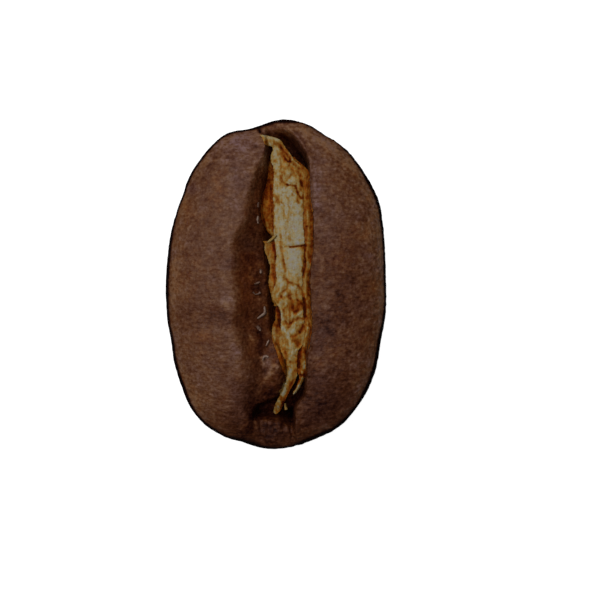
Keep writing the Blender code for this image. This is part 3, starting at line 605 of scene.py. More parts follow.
# A torn thread and a shred that stand off the strip: (path, half widths along it, tone), in
# pixels.
SKIN_THREADS = (
    (
        ((267, 243.2), (269.3, 242), (272, 239.9), (274.3, 237.8), (276.5, 235.6)),
        (0.6, 1.2, 1.4, 1.6, 1.2),
        0.80,
    ),
    (((285.2, 403), (285.4, 406), (286.2, 409.5)), (0.5, 1.3, 1.6), 0.74),
)

# The loose flakes on the slope, in the CAD model's order: (path, half widths along it, tone).
FLAKES = (
    (((259.4, 203.5), (258.8, 206), (258.8, 208.4)), (0.5, 0.9, 0.5), 0.40),
    (((258.9, 216.9), (258.2, 220.5), (258.6, 224.2)), (0.6, 1.2, 0.6), 0.62),
    (((260.4, 269.5), (261.3, 271.5), (261, 273.6)), (0.9, 1.5, 0.8), 0.66),
    (((254.8, 284.4), (257, 283.6), (260.4, 282.0)), (0.7, 1.1, 0.8), 0.36),
    (((253.6, 291.8), (256, 294.4), (258.5, 294), (260.8, 292.3)), (1.2, 0.4, 0.6, 1.5), 0.52),
    (((264.9, 306.3), (265.3, 312), (262.8, 315), (257.6, 318.3)), (0.7, 1.5, 1.3, 0.5), 0.66),
    (((257.2, 325.6), (258.6, 327.3), (260.9, 330.3)), (1.1, 1.7, 0.6), 0.36),
    (((269.3, 339.6), (268, 342.2), (266.4, 345.4)), (0.6, 1.2, 0.7), 0.56),
    (((263.3, 359.6), (263.9, 357.2), (266.3, 355.6), (268.6, 356.6)), (0.6, 1.3, 1.6, 0.6), 0.56),
)

# Where the skin is more orange, below 0, or paler, above 0, in the same way as the bean's patches.
SKIN_HUE_PATCHES = (
    (264, 142, 4, 6, -0.5), (273, 278, 2.2, 10, -0.9), (278, 312, 2.5, 9, -0.6),
    (277, 404, 5, 8, 0.35), (273, 248, 2.0, 9, -0.7), (268, 241, 4, 2.5, 0.35),
    (265, 247, 2, 5, 0.4), (294, 306, 7, 6, -0.35), (297, 340, 4, 5, -0.25),
    (284, 374, 5, 16, -0.5), (270, 190, 4, 30, -0.2), (266, 208, 4, 14, -0.25),
    (307, 215, 4, 45, -0.12), (303, 312, 3, 20, -0.12), (281, 356, 5, 12, -0.6),
    (299, 357, 3, 12, -0.45), (307, 362, 2, 12, -0.4), (289, 392, 3, 10, -0.3),
    (285, 164, 4, 12, -0.2), (299, 175, 4, 12, -0.2), (269.3, 278, 1.6, 12, 0.55),
    (272, 299, 2, 6, 0.35), (276, 337, 4, 9, 0.45), (303, 364, 2.5, 5, 0.35),
    (298, 386, 5, 10, 0.15), (285, 406, 3, 4, 0.3), (292, 225, 9, 28, 0.22), (291, 184, 6, 5, 0.3),
    (293, 258, 7, 12, 0.2), (281, 390, 3, 6, 0.3),
)

# Colours, as (share, linear red, green and blue): the roast and the skin by their tone, each with
# the tints that it is multiplied by, and the flakes by their tone.
ROAST_RAMP = (
    (0.0, (0.0015, 0.0004, 0.0003)), (0.19, (0.006, 0.001, 0.0006)), (0.32, (0.015, 0.0025, 0.001)),
    (0.48, (0.035, 0.0072, 0.0012)), (0.67, (0.07, 0.019, 0.0045)), (0.82, (0.105, 0.038, 0.0125)),
    (1.0, (0.17, 0.082, 0.04)),
)
HUE_RAMP = ((0.0, (1.22, 0.94, 0.35)), (0.5, (1.0, 1.0, 1.0)), (1.0, (0.93, 1.03, 2.1)))
SKIN_RAMP = (
    (0.0, (0.03, 0.004, 0.0006)), (0.2, (0.085, 0.013, 0.0012)), (0.4, (0.155, 0.04, 0.0024)),
    (0.6, (0.215, 0.096, 0.012)), (0.8, (0.255, 0.172, 0.052)), (1.0, (0.29, 0.258, 0.16)),
)
SKIN_HUES = ((0.0, (1.24, 0.8, 0.3)), (0.5, (1.0, 1.0, 1.0)), (1.0, (0.98, 1.03, 1.75)))
FLAKE_RAMP = ((0.0, (0.06, 0.024, 0.013)), (0.5, (0.16, 0.09, 0.062)), (1.0, (0.25, 0.185, 0.14)))

# The floor and the even white light, and the camera's lens and sensor in millimetres, and between
# which distances in metres it sees.
FLOOR_REACH = 0.6
FLOOR_GREY = 0.35
FLOOR_GLOW = 0.95
WORLD_STRENGTH = 0.12
LENS = 135.0
SENSOR = 36.0
CLIP = (0.001, 10.0)


def px(x, y):
    """The place, in millimetres, of a pixel of the photograph."""
    return (x - MIDDLE_PX[0]) / PIXELS_PER_MM, (MIDDLE_PX[1] - y) / PIXELS_PER_MM


def path_mm(path):
    """A path of pixels as a path in millimetres."""
    return [px(*point) for point in path]


def ease(share):
    """0 up to share 0, 1 from share 1, and a smooth rise between them."""
    share = np.clip(share, 0, 1)
    return share * share * (3 - 2 * share)


def between(value, limits):
    """0 up to the first limit, 1 from the second, and a smooth rise between them."""
    return ease((value - limits[0]) / (limits[1] - limits[0]))


def bump(away):
    """A smooth hump: 1 where away is 0, and almost nothing from 2 on."""
    return np.exp(-(away**2))


def smooth_curve(points, at):
    """Reads, at the positions `at`, the smooth curve through (position, value) points that never
    swings past them: a cubic whose slope at each point is the harmonic mean of its neighbours'."""
    position, value = np.array(sorted(points), float).T
    gap = np.diff(position)
    slope = np.diff(value) / gap
    before, after = slope[:-1], slope[1:]
    together = before * after > 0
    mean = 2 * before * after / np.where(together, before + after, 1)
    tangent = np.concatenate([[0], np.where(together, mean, 0), [0]])
    at = np.clip(at, position[0], position[-1])
    i = np.clip(np.searchsorted(position, at) - 1, 0, len(gap) - 1)
    t = (at - position[i]) / gap[i]
    rise = value[i] * (1 - ease(t)) + value[i + 1] * ease(t)
    bend = tangent[i] * t * (1 - t) ** 2 - tangent[i + 1] * t * t * (1 - t)
    return rise + gap[i] * bend


# Noise


LATTICE = 256  # the noise repeats after so many grains
NOISE_GAIN = 1.6
RIDGE_SHARPNESS = 2.5
# Folds: how far they bend, how far each direction strays, in radians, how wide they are, and the
# size of the patches in which they come and go. All but the turn are shares of their size.
FOLD_WARP = 0.25
FOLD_TURN = 0.3
FOLD_WIDTHS = (0.7, 1.6)
FOLD_PATCH = 1.8
FOLD_GAIN = 1.6


def lattice_noise(points, seed):
    """Smooth noise of about -1 to 1 whose grain is one unit, at an array of 3D points."""
    slopes = np.random.default_rng(seed).normal(size=(LATTICE, 3))
    slopes /= np.linalg.norm(slopes, axis=1, keepdims=True)
    order = np.random.default_rng(seed + 1).permutation(LATTICE)
    cell = np.floor(points).astype(int)
    local = points - cell
    fade = local**3 * (local * (local * 6 - 15) + 10)
    total = np.zeros(len(points))
    for corner in itertools.product((0, 1), repeat=3):
        x, y, z = ((cell + corner) % LATTICE).T
        slope = slopes[order[(order[(order[x] + y) % LATTICE] + z) % LATTICE]]
        weight = np.where(corner, fade, 1 - fade).prod(axis=1)
        total += weight * ((local - corner) * slope).sum(axis=1)
    return total * NOISE_GAIN


def grain(points, size, seed, octaves=1):
    """Noise with a grain of `size` mm, a number or one for each axis, and finer octaves on it."""
    scaled = points / np.asarray(size, float)
    return sum(lattice_noise(scaled * 2**k, seed + 10 * k) / 2**k for k in range(octaves))


def ridges(points, size, seed, octaves=1):
    """Narrow raised lines, 0 to 1, where the noise crosses zero."""
    away = np.abs(grain(points, size, seed, octaves)) * RIDGE_SHARPNESS
    return (1 - np.minimum(away, 1)) ** 2


def layer(points, noise, kind=grain):
    """Noise from a (strength, grain, seed, octaves) of the tables."""
    strength, size, seed, octaves = noise
    return strength * kind(points, size, seed, octaves)


def folds(points, size, seed, directions=5):
    """Crumpled paper: straight ridges and valleys in several directions, -1 to 1."""
    pick = np.random.default_rng(seed)
    warp = [grain(points, size, seed + 1, 2), grain(points, size, seed + 2, 2)]
    warped = points[:, :2] + FOLD_WARP * size * np.stack(warp, axis=1)
    total = np.zeros(len(points))
    for turn in np.linspace(0, math.pi, directions, endpoint=False):
        turn += pick.uniform(-FOLD_TURN, FOLD_TURN)
        along = warped @ (math.cos(turn), math.sin(turn))
        width = size * pick.uniform(*FOLD_WIDTHS)
        wave = np.abs(((along / width + pick.uniform(0, 1)) % 1) * 2 - 1) * 2 - 1
        patch = 0.5 + 0.5 * grain(points, size * FOLD_PATCH, seed + 3 + int(10 * turn))
        total += wave * patch
    return total / directions * FOLD_GAIN


# Meshes


def mesh_piece(name, points, quads, finish, values):
    """An object from points in millimetres, with a value for each point under each name."""
    mesh = bpy.data.meshes.new(name)
    mesh.from_pydata(place(points).tolist(), [], quads.tolist())
    for key, value in values.items():
        mesh.attributes.new(key, "FLOAT", "POINT").data.foreach_set(
            "value", np.asarray(value, np.float32)
        )
    mesh.shade_smooth()
    mesh.materials.append(finish)
    piece = bpy.data.objects.new(name, mesh)
    bpy.context.scene.collection.objects.link(piece)
    return piece


def grid_quads(rows, columns):
    """The quads of a grid of points, numbered along its rows."""
    index = np.arange(rows * columns).reshape(rows, columns)
    corners = (index[:-1, :-1], index[:-1, 1:], index[1:, 1:], index[1:, :-1])
    return np.stack([c.ravel() for c in corners], axis=1)


def normals_of(points, quads):
    """Each point's normal, from the quads around it."""
    across = points[quads[:, 2]] - points[quads[:, 0]]
    other = points[quads[:, 3]] - points[quads[:, 1]]
    face = np.cross(across, other)
    total = np.zeros_like(points)
    for corner in range(4):
        np.add.at(total, quads[:, corner], face)
    return total / np.maximum(np.linalg.norm(total, axis=1, keepdims=True), 1e-12)


# The bean


def rim_radius(angle, featured=1.0):
    """The outline's radius in the direction `angle`, in radians from +X."""
    across = np.abs(np.cos(angle)) / HALF_WIDTH
    along = np.abs(np.sin(angle)) / HALF_LENGTH
    radius = (across**OUTLINE_POWER + along**OUTLINE_POWER) ** (-1 / OUTLINE_POWER)
    for centre, spread, rise in OUTLINE_FEATURES:
        away = (np.degrees(angle) - centre + 180) % 360 - 180
        radius = radius + featured * rise * bump(away / spread)
    return radius


def crest_height(x, y):
    """The height of the creased face above the widest line, as if it had no crease."""
    share = np.hypot(x, y) / rim_radius(np.arctan2(y, x))
    return FACE_RISE * np.clip(1 - share**FACE_POWER, 0, 1) ** (1 / FACE_POWER)


def slope_start(x, y):
    """How far (x, y) lies past the crease's left edge, and the width of the shoulder there."""
    return np.maximum(x - smooth_curve(CREASE_LEFT, y), 0), smooth_curve(SHOULDER, y)


def wall_share(x, y):
    """1 in the crease, 0 on the right lobe, and a rise between them on the crease's right wall."""
    right, run = smooth_curve(CREASE_RIGHT, y), smooth_curve(CREASE_RIGHT_RUN, y)
    return ease((right - x) / run)


def from_lump(x, y):
    """How far (x, y) lies across and along the bean from the lump, as shares of its reach."""
    return (x - LUMP_AT[0]) / LUMP_REACH[0], (y - LUMP_AT[1]) / LUMP_REACH[1]


def crease_fall(x, y):
    """How far the crease lowers the face at (x, y)."""
    past_left, shoulder = slope_start(x, y)
    along = y + END_SLANT * between(x, END_SLANT_ACROSS) * between(y, END_SLANT_ALONG)
    depth = smooth_curve(CREASE_DEPTH, along)
    on_shoulder = np.minimum(past_left, shoulder)
    slope = on_shoulder**2 / (2 * shoulder) + past_left - on_shoulder
    slope = depth * np.tanh(slope * smooth_curve(CREASE_TILT, y) / depth)
    cleft = smooth_curve(CLEFT_DEPTH, along) * ease((x - smooth_curve(CLEFT_LEFT, y)) / CLEFT_RUN)
    past_lip = np.maximum(x - smooth_curve(CREASE_RIGHT, y), 0) / LIP_ROLL_WIDTH
    roll = LIP_ROLL * depth / FACE_RISE * bump(past_lip) * ease(past_left / shoulder)
    across_lump, along_lump = from_lump(x, y)
    lump = LUMP_RISE * bump(across_lump) * bump(along_lump)
    return (slope + cleft) * wall_share(x, y) + roll - lump


def ground_height(x, y):
    """The height of the bean's smooth face, crease and all."""
    return crest_height(x, y) - crease_fall(x, y)


def gathered(x, y, share):
    """x with the mesh's lines drawn together at the crease's steep walls."""
    right = smooth_curve(CREASE_RIGHT, y) - smooth_curve(CREASE_RIGHT_RUN, y) / 2
    for wall, (strength, reach) in ((right, GATHER_RIGHT), (GATHER_LEFT_AT, GATHER_LEFT)):
        away = x - wall
        x = wall + away * (1 - strength * share * bump(away / reach))
    return x


def bean_form(directions):
    """The bean's smooth surface for unit vectors: points, latitudes and falls into the crease."""
    level = np.hypot(directions[:, 0], directions[:, 1])
    height = directions[:, 2]
    angle = np.arctan2(directions[:, 1] * HALF_LENGTH, directions[:, 0] * HALF_WIDTH)
    latitude = np.degrees(np.arctan2(height, level))
    power = np.where(height >= 0, FACE_POWER, DOME_POWER)
    reach = (level**power + np.abs(height) ** power) ** (-1 / power)
    radius = reach * level * rim_radius(angle, between(latitude, FEATURES_END))
    x, y = radius * np.cos(angle), radius * np.sin(angle)
    x = gathered(x, y, between(latitude, GATHER_LATITUDES))
    z = reach * height * np.where(height >= 0, FACE_RISE, DOME_DROP)
    fall = between(latitude, CREASE_ENDS) * crease_fall(x, y)
    return np.stack([x, y, z - fall], axis=1), latitude, fall


def cap_directions(cells, rise, power):
    """Unit vectors for a square grid that is pulled round and laid over half of the bean, with
    its lines evenly spaced along the half's own profile. `rise` is negative for the lower half."""
    side = np.linspace(-1, 1, cells + 1)
    u, v = np.meshgrid(side, side)
    across, along = u * np.sqrt(1 - v**2 / 2), v * np.sqrt(1 - u**2 / 2)
    share, turn = np.hypot(across, along).ravel(), np.arctan2(along, across).ravel()
    tilt = np.linspace(0, math.pi / 2, PROFILE_STEPS)
    reach = (np.sin(tilt) ** power + np.cos(tilt) ** power) ** (-1 / power)
    mean_radius = (HALF_LENGTH + HALF_WIDTH) / 2
    out, up = mean_radius * reach * np.sin(tilt), rise * reach * np.cos(tilt)
    step = np.hypot(np.diff(out), np.diff(up))
    walked = np.concatenate([[0], np.cumsum(step)])
    tilt = np.interp(share, walked / walked[-1], tilt)
    level, height = np.sin(tilt), np.sign(rise) * np.cos(tilt)
    return np.stack([level * np.cos(turn), level * np.sin(turn), height], axis=1)


def bean_mesh(cells):
    """Directions and quads for the whole bean: a face grid and a dome grid that share a border."""
    face = cap_directions(cells, FACE_RISE, FACE_POWER)
    dome = cap_directions(cells, -DOME_DROP, DOME_POWER)
    side = cells + 1
    index = np.arange(side * side).reshape(side, side)
    inner = np.zeros((side, side), bool)
    inner[1:-1, 1:-1] = True
    dome_index = index.copy()
    dome_index[inner] = side * side + np.arange(inner.sum())
    quads = grid_quads(side, side)
    dome_quads = dome_index.ravel()[quads][:, ::-1]
    return np.concatenate([face, dome[inner.ravel()]]), np.concatenate([quads, dome_quads])


def crease_share(x, y):
    """1 on the crease's slope and floor, 0 on the lobes and past the crease's ends."""
    past_left, shoulder = slope_start(x, y)
    deep = ease(smooth_curve(CREASE_DEPTH, y) / CREASE_FULL_DEPTH)
    return ease(past_left / (CREASE_SHOULDERS * shoulder)) * wall_share(x, y) * deep


def lump_share(x, y):
    """1 on the top of the lump by the crease's narrow end."""
    return bump(np.hypot(*from_lump(x, y)) / LUMP_SPREAD)


def cap_share(x, y):
    """1 on the low cap that closes the crease's narrow end."""
    return bump(x / CAP_ACROSS) * between(y, CAP_ALONG)


def slanting_lines(points):
    """The fine wrinkles that run at a slant over the right lobe, 0 to 1."""
    cosine, sine = SLANT
    turned = points @ np.array([[cosine, sine, 0], [-sine, cosine, 0], [0, 0, 1]])
    return layer(turned, SLANT_NOISE, ridges)


def bean_relief(points, latitude):
    """How far the fine surface stands out from the smooth one, in millimetres."""
    x, y, _ = points.T
    on_face = between(latitude, FACE_LATITUDES)
    crease = on_face * crease_share(x, y)
    lobe = on_face * (1 - crease)
    left, right = ease(-x / LOBE_SIDE), ease(x / LOBE_SIDE)
    swell = layer(points, SWELL) + layer(points, SMALL_SWELL)
    wrinkles = left * lobe * (layer(points, LEFT_BANDS) + layer(points, LEFT_WRINKLES))
    slanting = right * lobe * SLANT_RISE * slanting_lines(points)
    pebbles = (1 + PEBBLES_RIGHT * right) * layer(points, PEBBLES)
    slope = crease * (layer(points, SLOPE_GRAIN) + layer(points, SLOPE_RIDGES, ridges))
    knots = lump_share(x, y) * on_face * layer(points, KNOTS)
    cap = cap_share(x, y) * between(latitude, CAP_LATITUDES) * layer(points, CAP_RELIEF)
    dome = (1 - on_face) * (layer(points, DOME_GRAIN) + layer(points, DOME_RIDGES, ridges))
    return swell + wrinkles + slanting + pebbles + slope + knots + cap + dome


def patches(x, y, table):
    """The sum of smooth patches: (middle x, middle y, reach x, reach y, change), in pixels."""
    total = np.zeros_like(x)
    for middle_x, middle_y, reach_x, reach_y, change in table:
        x0, y0 = px(middle_x, middle_y)
        away = np.hypot((x - x0) / reach_x, (y - y0) / reach_y) * PIXELS_PER_MM
        total += change * bump(away)
    return total


def bean_tone(points, latitude, fall):
    """How light the roast is, 0 to 1: the lobes, the crease, darker partly as painted shade,
    painted shade in its pits, a painted rim light, and the nearly black rim of painted shade.
    """
    x, y, _ = points.T
    crease = crease_share(x, y)
    # The crease's darker tone is partly painted shade.
    tone = LOBE_TONE + crease * (smooth_curve(CREASE_TONE_AND_SHADE, y) - LOBE_TONE)
    # Patches of the roast's own tone, of painted shade and of painted light.
    tone += patches(x, y, TONE_LIGHT_AND_SHADE_PATCHES) + LUMP_TONE * lump_share(x, y)
    right = ease(x / LOBE_SIDE)
    streaks = layer(points, STREAKS) + layer(points, MOTTLE)
    share = np.maximum(between(y, UPPER_STREAKS), RIGHT_STREAKS * right)
    tone += streaks * share * (1 - crease) + crease * layer(points, CREASE_MOTTLE)
    tone += right * (1 - crease) * SLANT_TONE * (slanting_lines(points) - SLANT_MEAN)
    tone += lump_share(x, y) * layer(points, LUMP_MOTTLE)
    # Painted shade where the crease falls deepest.
    tone -= PIT_SHADE * between(fall, PIT_FALL)
    tone += cap_share(x, y) * (CAP_TONE + layer(points, CAP_MOTTLE) - tone)
    turn = np.degrees(np.arctan2(y, x))
    # A painted rim light: a lighter ring just inside the rim.
    past_rim_light = (latitude - smooth_curve(RIM_PAINTED_LIGHT_AT, turn)) / RIM_PAINTED_LIGHT_REACH
    tone += smooth_curve(RIM_PAINTED_LIGHT, turn) * bump(past_rim_light)
    # Painted shade: the face darkens to nearly black at the rim.
    rim = ease((smooth_curve(RIM_START, turn) - latitude) / RIM_FADE)
    tone += rim * (RIM_SHADE - tone)
    below = DOME_START - latitude + layer(points, DOME_RAGS)
    dome = ease(below / DOME_FADE) * between(latitude, DOME_LATITUDES)
    return tone + dome * (DOME_TONE - tone)


def bean_hue(points, latitude):
    """How golden, below 0.5, or purplish grey, above it, the roast is; the grey is partly a painted
    sheen and painted glints.
    """
    x, y, _ = points.T
    on_face = between(latitude, HUE_LATITUDES)
    hue = patches(x, y, HUE_PATCHES) + CREASE_HUE * crease_share(x, y)
    hue = HUE_BASE + on_face * hue
    return 0.5 + 0.5 * np.clip(hue, -1, 1)


def make_bean(finish):
    """The seed: its smooth form, and on it the fine relief, the marks and the roast's tones, with
    their painted shade and light.
    """
    directions, quads = bean_mesh(BEAN_CELLS)
    points, latitude, fall = bean_form(directions)
    x, y, _ = points.T
    marks = [(width, change, MARK_RISE * change, *path) for width, change, *path in BEAN_MARKS]
    # The marks' tone holds painted glints and painted shade as well as the roast's own colour.
    mark_tone, mark_rise = marked(x, y, marks, MARKS_SEED)
    on_face = between(latitude, MARK_LATITUDES)
    mark_tone *= on_face * (1 + MARKS_IN_CREASE * crease_share(x, y))
    values = {
        "tone": bean_tone(points, latitude, fall) + mark_tone,
        "hue": bean_hue(points, latitude),
    }
    relief = bean_relief(points, latitude) + on_face * mark_rise
    points = points + relief[:, None] * normals_of(points, quads)
    points[:, 2] = np.maximum(points[:, 2], REST_LEVEL)
    return mesh_piece("bean_body", points, quads, finish, values)


# The silverskin


def slab(top, rows, columns, thickness):
    """A closed sheet under a grid of points whose rows run along +Y and columns along +X."""
    bottom = top.copy()
    bottom[:, 2] -= thickness
    count = rows * columns
    index = np.arange(count).reshape(rows, columns)
    upper = grid_quads(rows, columns)
    lower = upper[:, ::-1] + count
    edge = np.concatenate([index[0, :-1], index[:-1, -1], index[-1, :0:-1], index[:0:-1, 0]])
    following = np.roll(edge, -1)
    sides = np.stack([edge, edge + count, following + count, following], axis=1)
    return np.concatenate([top, bottom]), np.concatenate([upper, lower, sides])


def skin_sink(y):
    """How far the silverskin lies below the lobes' crest."""
    return smooth_curve(SKIN_SINK, y)


def away_from(path, x, y):
    """How far each (x, y) lies from a path of points."""
    nearest = np.full(x.shape, np.inf)
    for (x0, y0), (x1, y1) in zip(path, path[1:]):
        run_x, run_y = x1 - x0, y1 - y0
        share = ((x - x0) * run_x + (y - y0) * run_y) / (run_x**2 + run_y**2)
        share = np.clip(share, 0, 1)
        nearest = np.minimum(nearest, np.hypot(x - x0 - share * run_x, y - y0 - share * run_y))
    return nearest


def on_plane(x, y):
    """(x, y) as points of the plane z = 0, where the noise of flat things is read."""
    return np.stack([x, y, np.zeros_like(x)], axis=1)


def layers(x, y, table, seed, step=1, kind=grain):
    """The sum of flat noises, each (strength, grain), with seeds that are `step` apart."""
    flat = on_plane(x, y)
    return sum(part * kind(flat, size, seed + step * k) for k, (part, size) in enumerate(table))


def marked(x, y, marks, seed):
    """The change in tone, and the rise in millimetres, that a table of folds, cracks and stains
    makes: (half width in pixels, change in tone, rise, then x and y of each of its points). The
    tone is partly the marks' own colour and partly painted: shade in sunk ones, a highlight on
    raised ones."""
    middle, swing, size = MARK_STRENGTH
    strength = middle + swing * grain(on_plane(x, y), size, seed + 4)
    astray_x = x + layers(x, y, MARK_WANDER, seed)
    astray_y = y + layers(x, y, MARK_WANDER, seed + 2)
    tone, rise = np.zeros_like(x), np.zeros_like(x)
    for half_width, change, height, *path in marks:
        away = away_from(path_mm(zip(path[::2], path[1::2])), astray_x, astray_y)
        line = bump(away * PIXELS_PER_MM / half_width) * strength
        tone += change * line
        rise += MARK_HEIGHT * height * line
    return tone, rise


def sheet(left, right, density, shape, crown=0.0):
    """One sheet of silverskin between a left and a right edge, each a path of pixels, with
    `density` lines for each pixel along and across it. `shape` gives its heights and tones from
    x, y and the share across, and `crown` is how far its middle stands out where it is 1 mm wide
    or more. Returns its points, quads and tones."""
    left, right = path_mm(left), path_mm(right)
    low = max(left[-1][1], right[-1][1])
    high = min(left[0][1], right[0][1])
    rows = int((high - low) * PIXELS_PER_MM * density[0])
    y = np.linspace(low, high, rows)
    steps = np.stack([np.zeros(rows), y, np.zeros(rows)], axis=1)
    edges = []
    for seed, edge in enumerate((left, right)):
        rags = [far * grain(steps, size, first + seed) for far, size, first in EDGE_RAGS]
        edges.append(smooth_curve([(b, a) for a, b in edge], y) + sum(rags))
    width = np.maximum(edges[1] - edges[0], NARROWEST)
    columns = int(np.max(width) * PIXELS_PER_MM * density[1])
    across = np.tile(np.linspace(0, 1, columns), rows)
    width, start, y = (np.repeat(a, columns) for a in (width, edges[0], y))
    x = start + across * width
    height, tone = shape(x, y, across)
    height = height + crown * np.minimum(width, 1) * (1 - (2 * across - 1) ** 2)
    ground = ground_height(x, y)
    height = np.maximum(height, ground + SKIN_CLEARANCE)
    gap = (height - SKIN_SHEET - ground + TIP_ROOT) * between(y, TIP_STUCK)
    points, quads = slab(np.stack([x, y, height], axis=1), rows, columns, SKIN_SHEET + gap)
    nearest = np.minimum(across, 1 - across) * width
    tone = tone - EDGE_SHADE * bump(nearest / EDGE_SHADE_REACH)
    # The underside and sides are darker, as painted shade.
    return points, quads, np.concatenate([tone, tone * UNDERSIDE_SHADE])


def crumpled_skin(x, y, marks, seed, lift, crumple, tone, fibre, stain):
    """Heights and tones of a sheet that lies `lift` above the skin's own level: with its marks,
    crumples `crumple` mm high, and fibres and stains of these strengths in its tone. Its crumples
    are painted lighter where they rise and darker where they sink, as light and shade."""
    mark_tone, rise = marked(x, y, marks, seed)
    crumple = crumple * layers(x, y, CRUMPLES, seed + 10, 50, folds)
    height = crest_height(x, y) - skin_sink(y) + lift + rise + crumple
    # Painted light and shade: crumples are lighter where they rise.
    tone = mark_tone + tone + CRUMPLE_PAINTED_LIGHT * crumple
    tone += fibre * layers(x, y, FIBRES, seed + 20)
    middle, swing, size = STAINS
    stained = ease(middle + swing * grain(on_plane(x, y), size, seed + 24, 3))
    return height, tone - stain * stained


def panel_shape(x, y, _):
    crumple, tone, stain = (
        smooth_curve(table, y) for table in (PANEL_CRUMPLE, PANEL_TONE, PANEL_STAINS)
    )
    return crumpled_skin(x, y, PANEL_MARKS, 401, 0, crumple, tone, fibre=0.06, stain=stain)


def margin_shape(x, y, across):
    height, middle, half_width = MARGIN_FOLD
    fold = height * bump((across - middle) / half_width) - MARGIN_UNDER
    return crumpled_skin(
        x, y, MARGIN_MARKS, 431, fold, crumple=0.018, tone=0.53, fibre=0.10, stain=0.22
    )


def sag(across, amounts):
    """How far a flap hangs below the panel's level."""
    return amounts[0] + amounts[1] * (1 - across) ** SAG_POWER


def upper_flap_shape(x, y, across):
    drop = sag(across, UPPER_FLAP_SAG)
    # Painted shade: darker towards the sagging left edge.
    tone = UPPER_FLAP_TONE_AND_SHADE[0] + UPPER_FLAP_TONE_AND_SHADE[1] * across
    return crumpled_skin(
        x, y, UPPER_FLAP_MARKS, 461, -drop, crumple=0.022, tone=tone, fibre=0.10, stain=0.20
    )


def lower_flap_shape(x, y, across):
    drop = sag(across, LOWER_FLAP_SAG)
    return crumpled_skin(
        x, y, LOWER_FLAP_MARKS, 491, -drop, crumple=0.020, tone=0.66, fibre=0.08, stain=0.20
    )


def fringe_shape(x, y, across):
    height, tone = crumpled_skin(
        x, y, FRINGE_MARKS, 521, -FRINGE_DROP, crumple=0.022, tone=0.56, fibre=0.08, stain=0.20
    )
    curl = FRINGE_CURL * between(across, FRINGE_CURL_ACROSS)
    return np.maximum(height, ground_height(x, y) + SKIN_CLEARANCE + curl), tone


def fibre(path, half_widths, lift, rows=40, columns=7):
    """A narrow curled chip or thread along a path of pixels, at the heights that `lift` gives
    for x and y: its points, its quads, and how far across it each point is, -1 to 1."""
    path = np.array(path_mm(path))
    walked = np.concatenate([[0], np.cumsum(np.hypot(*np.diff(path, axis=0).T))])
    at = np.linspace(0, walked[-1], rows)
    line = np.stack([smooth_curve(list(zip(walked, column)), at) for column in path.T], axis=1)
    heading = np.gradient(line, axis=0)
    heading /= np.linalg.norm(heading, axis=1, keepdims=True)
    aside = np.stack([heading[:, 1], -heading[:, 0]], axis=1)
    share = at / walked[-1]
    half = np.interp(share, np.linspace(0, 1, len(half_widths)), half_widths) / PIXELS_PER_MM
    steps = np.stack([at, at * 0 + path[0, 0], at * 0 + path[0, 1]], axis=1)
    half = half * (1 + layer(steps, THREAD_RAGS))
    across = np.linspace(-1, 1, columns)
    flat = line[:, None] + across[None, :, None] * (half[:, None] * aside)[:, None]
    x, y = flat[..., 0].ravel(), flat[..., 1].ravel()
    across = np.tile(across, rows)
    share = np.repeat(share, columns)
    arch = np.repeat(half, columns) * THREAD_ARCH * (1 - across**2)
    curl = THREAD_CURL * (2 * share - 1) ** 2
    top = np.stack([x, y, lift(x, y) + arch + curl], axis=1)
    return (*slab(top, rows, columns, SKIN_SHEET), np.tile(across, 2))


def over_ground(x, y):
    """The height at which a flake lies on the bean."""
    return ground_height(x, y) + FLAKE_LIFT


def over_skin(x, y):
    """The height at which a thread lies on the strip, or on the bean beside it."""
    return np.maximum(crest_height(x, y) - skin_sink(y) + THREAD_LIFT, over_ground(x, y))


def joined(parts):
    """Several bodies as one: their points, quads and values."""
    points, quads, values, count = [], [], [], 0
    for some_points, some_quads, some_values in parts:
        points.append(some_points)
        quads.append(some_quads + count)
        values.append(some_values)
        count += len(some_points)
    return np.concatenate(points), np.concatenate(quads), np.concatenate(values)


def make_silverskin(finish):
    """The strip: its main panel, the margin on the right wall, two sagging flaps on the left,
    a fringe, a torn thread and a shred."""
    parts = [
        sheet(PANEL_LEFT, PANEL_RIGHT, (1.9, 1.9), panel_shape, PANEL_CROWN),
        sheet(MARGIN_LEFT, MARGIN_RIGHT, (1.8, 1.8), margin_shape),
        sheet(UPPER_FLAP_LEFT, UPPER_FLAP_RIGHT, (1.8, 1.6), upper_flap_shape),
        sheet(LOWER_FLAP_LEFT, LOWER_FLAP_RIGHT, (1.8, 1.6), lower_flap_shape),
        sheet(FRINGE_LEFT, FRINGE_RIGHT, (1.8, 1.6), fringe_shape),
    ]
    for path, half_widths, tone in SKIN_THREADS:
        points, quads, across = fibre(path, half_widths, over_skin)
        parts.append((points, quads, tone - THREAD_SHADE * across**2))
    points, quads, tone = joined(parts)
    hue = 0.5 + 0.5 * patches(points[:, 0], points[:, 1], SKIN_HUE_PATCHES)
    values = {"tone": np.clip(tone, 0, 1), "hue": hue}
    return mesh_piece("skin_strip", points, quads, finish, values)


def make_flake(number, path, half_widths, tone, finish):
    points, quads, across = fibre(path, half_widths, over_ground)
    strength, size = FLAKE_MOTTLE
    tone = tone + strength * grain(points, size, FLAKE_SEED + number) - FLAKE_SHADE * across**2
    return mesh_piece(f"skin_flake_{number}", points, quads, finish, {"tone": tone})


# Nodes


# The numbers of a colour mix's sockets, whose names are shared with its sockets for numbers.
MIX_FACTOR = 0
MIX_A = 6
MIX_B = 7
MIX_RESULT = 2


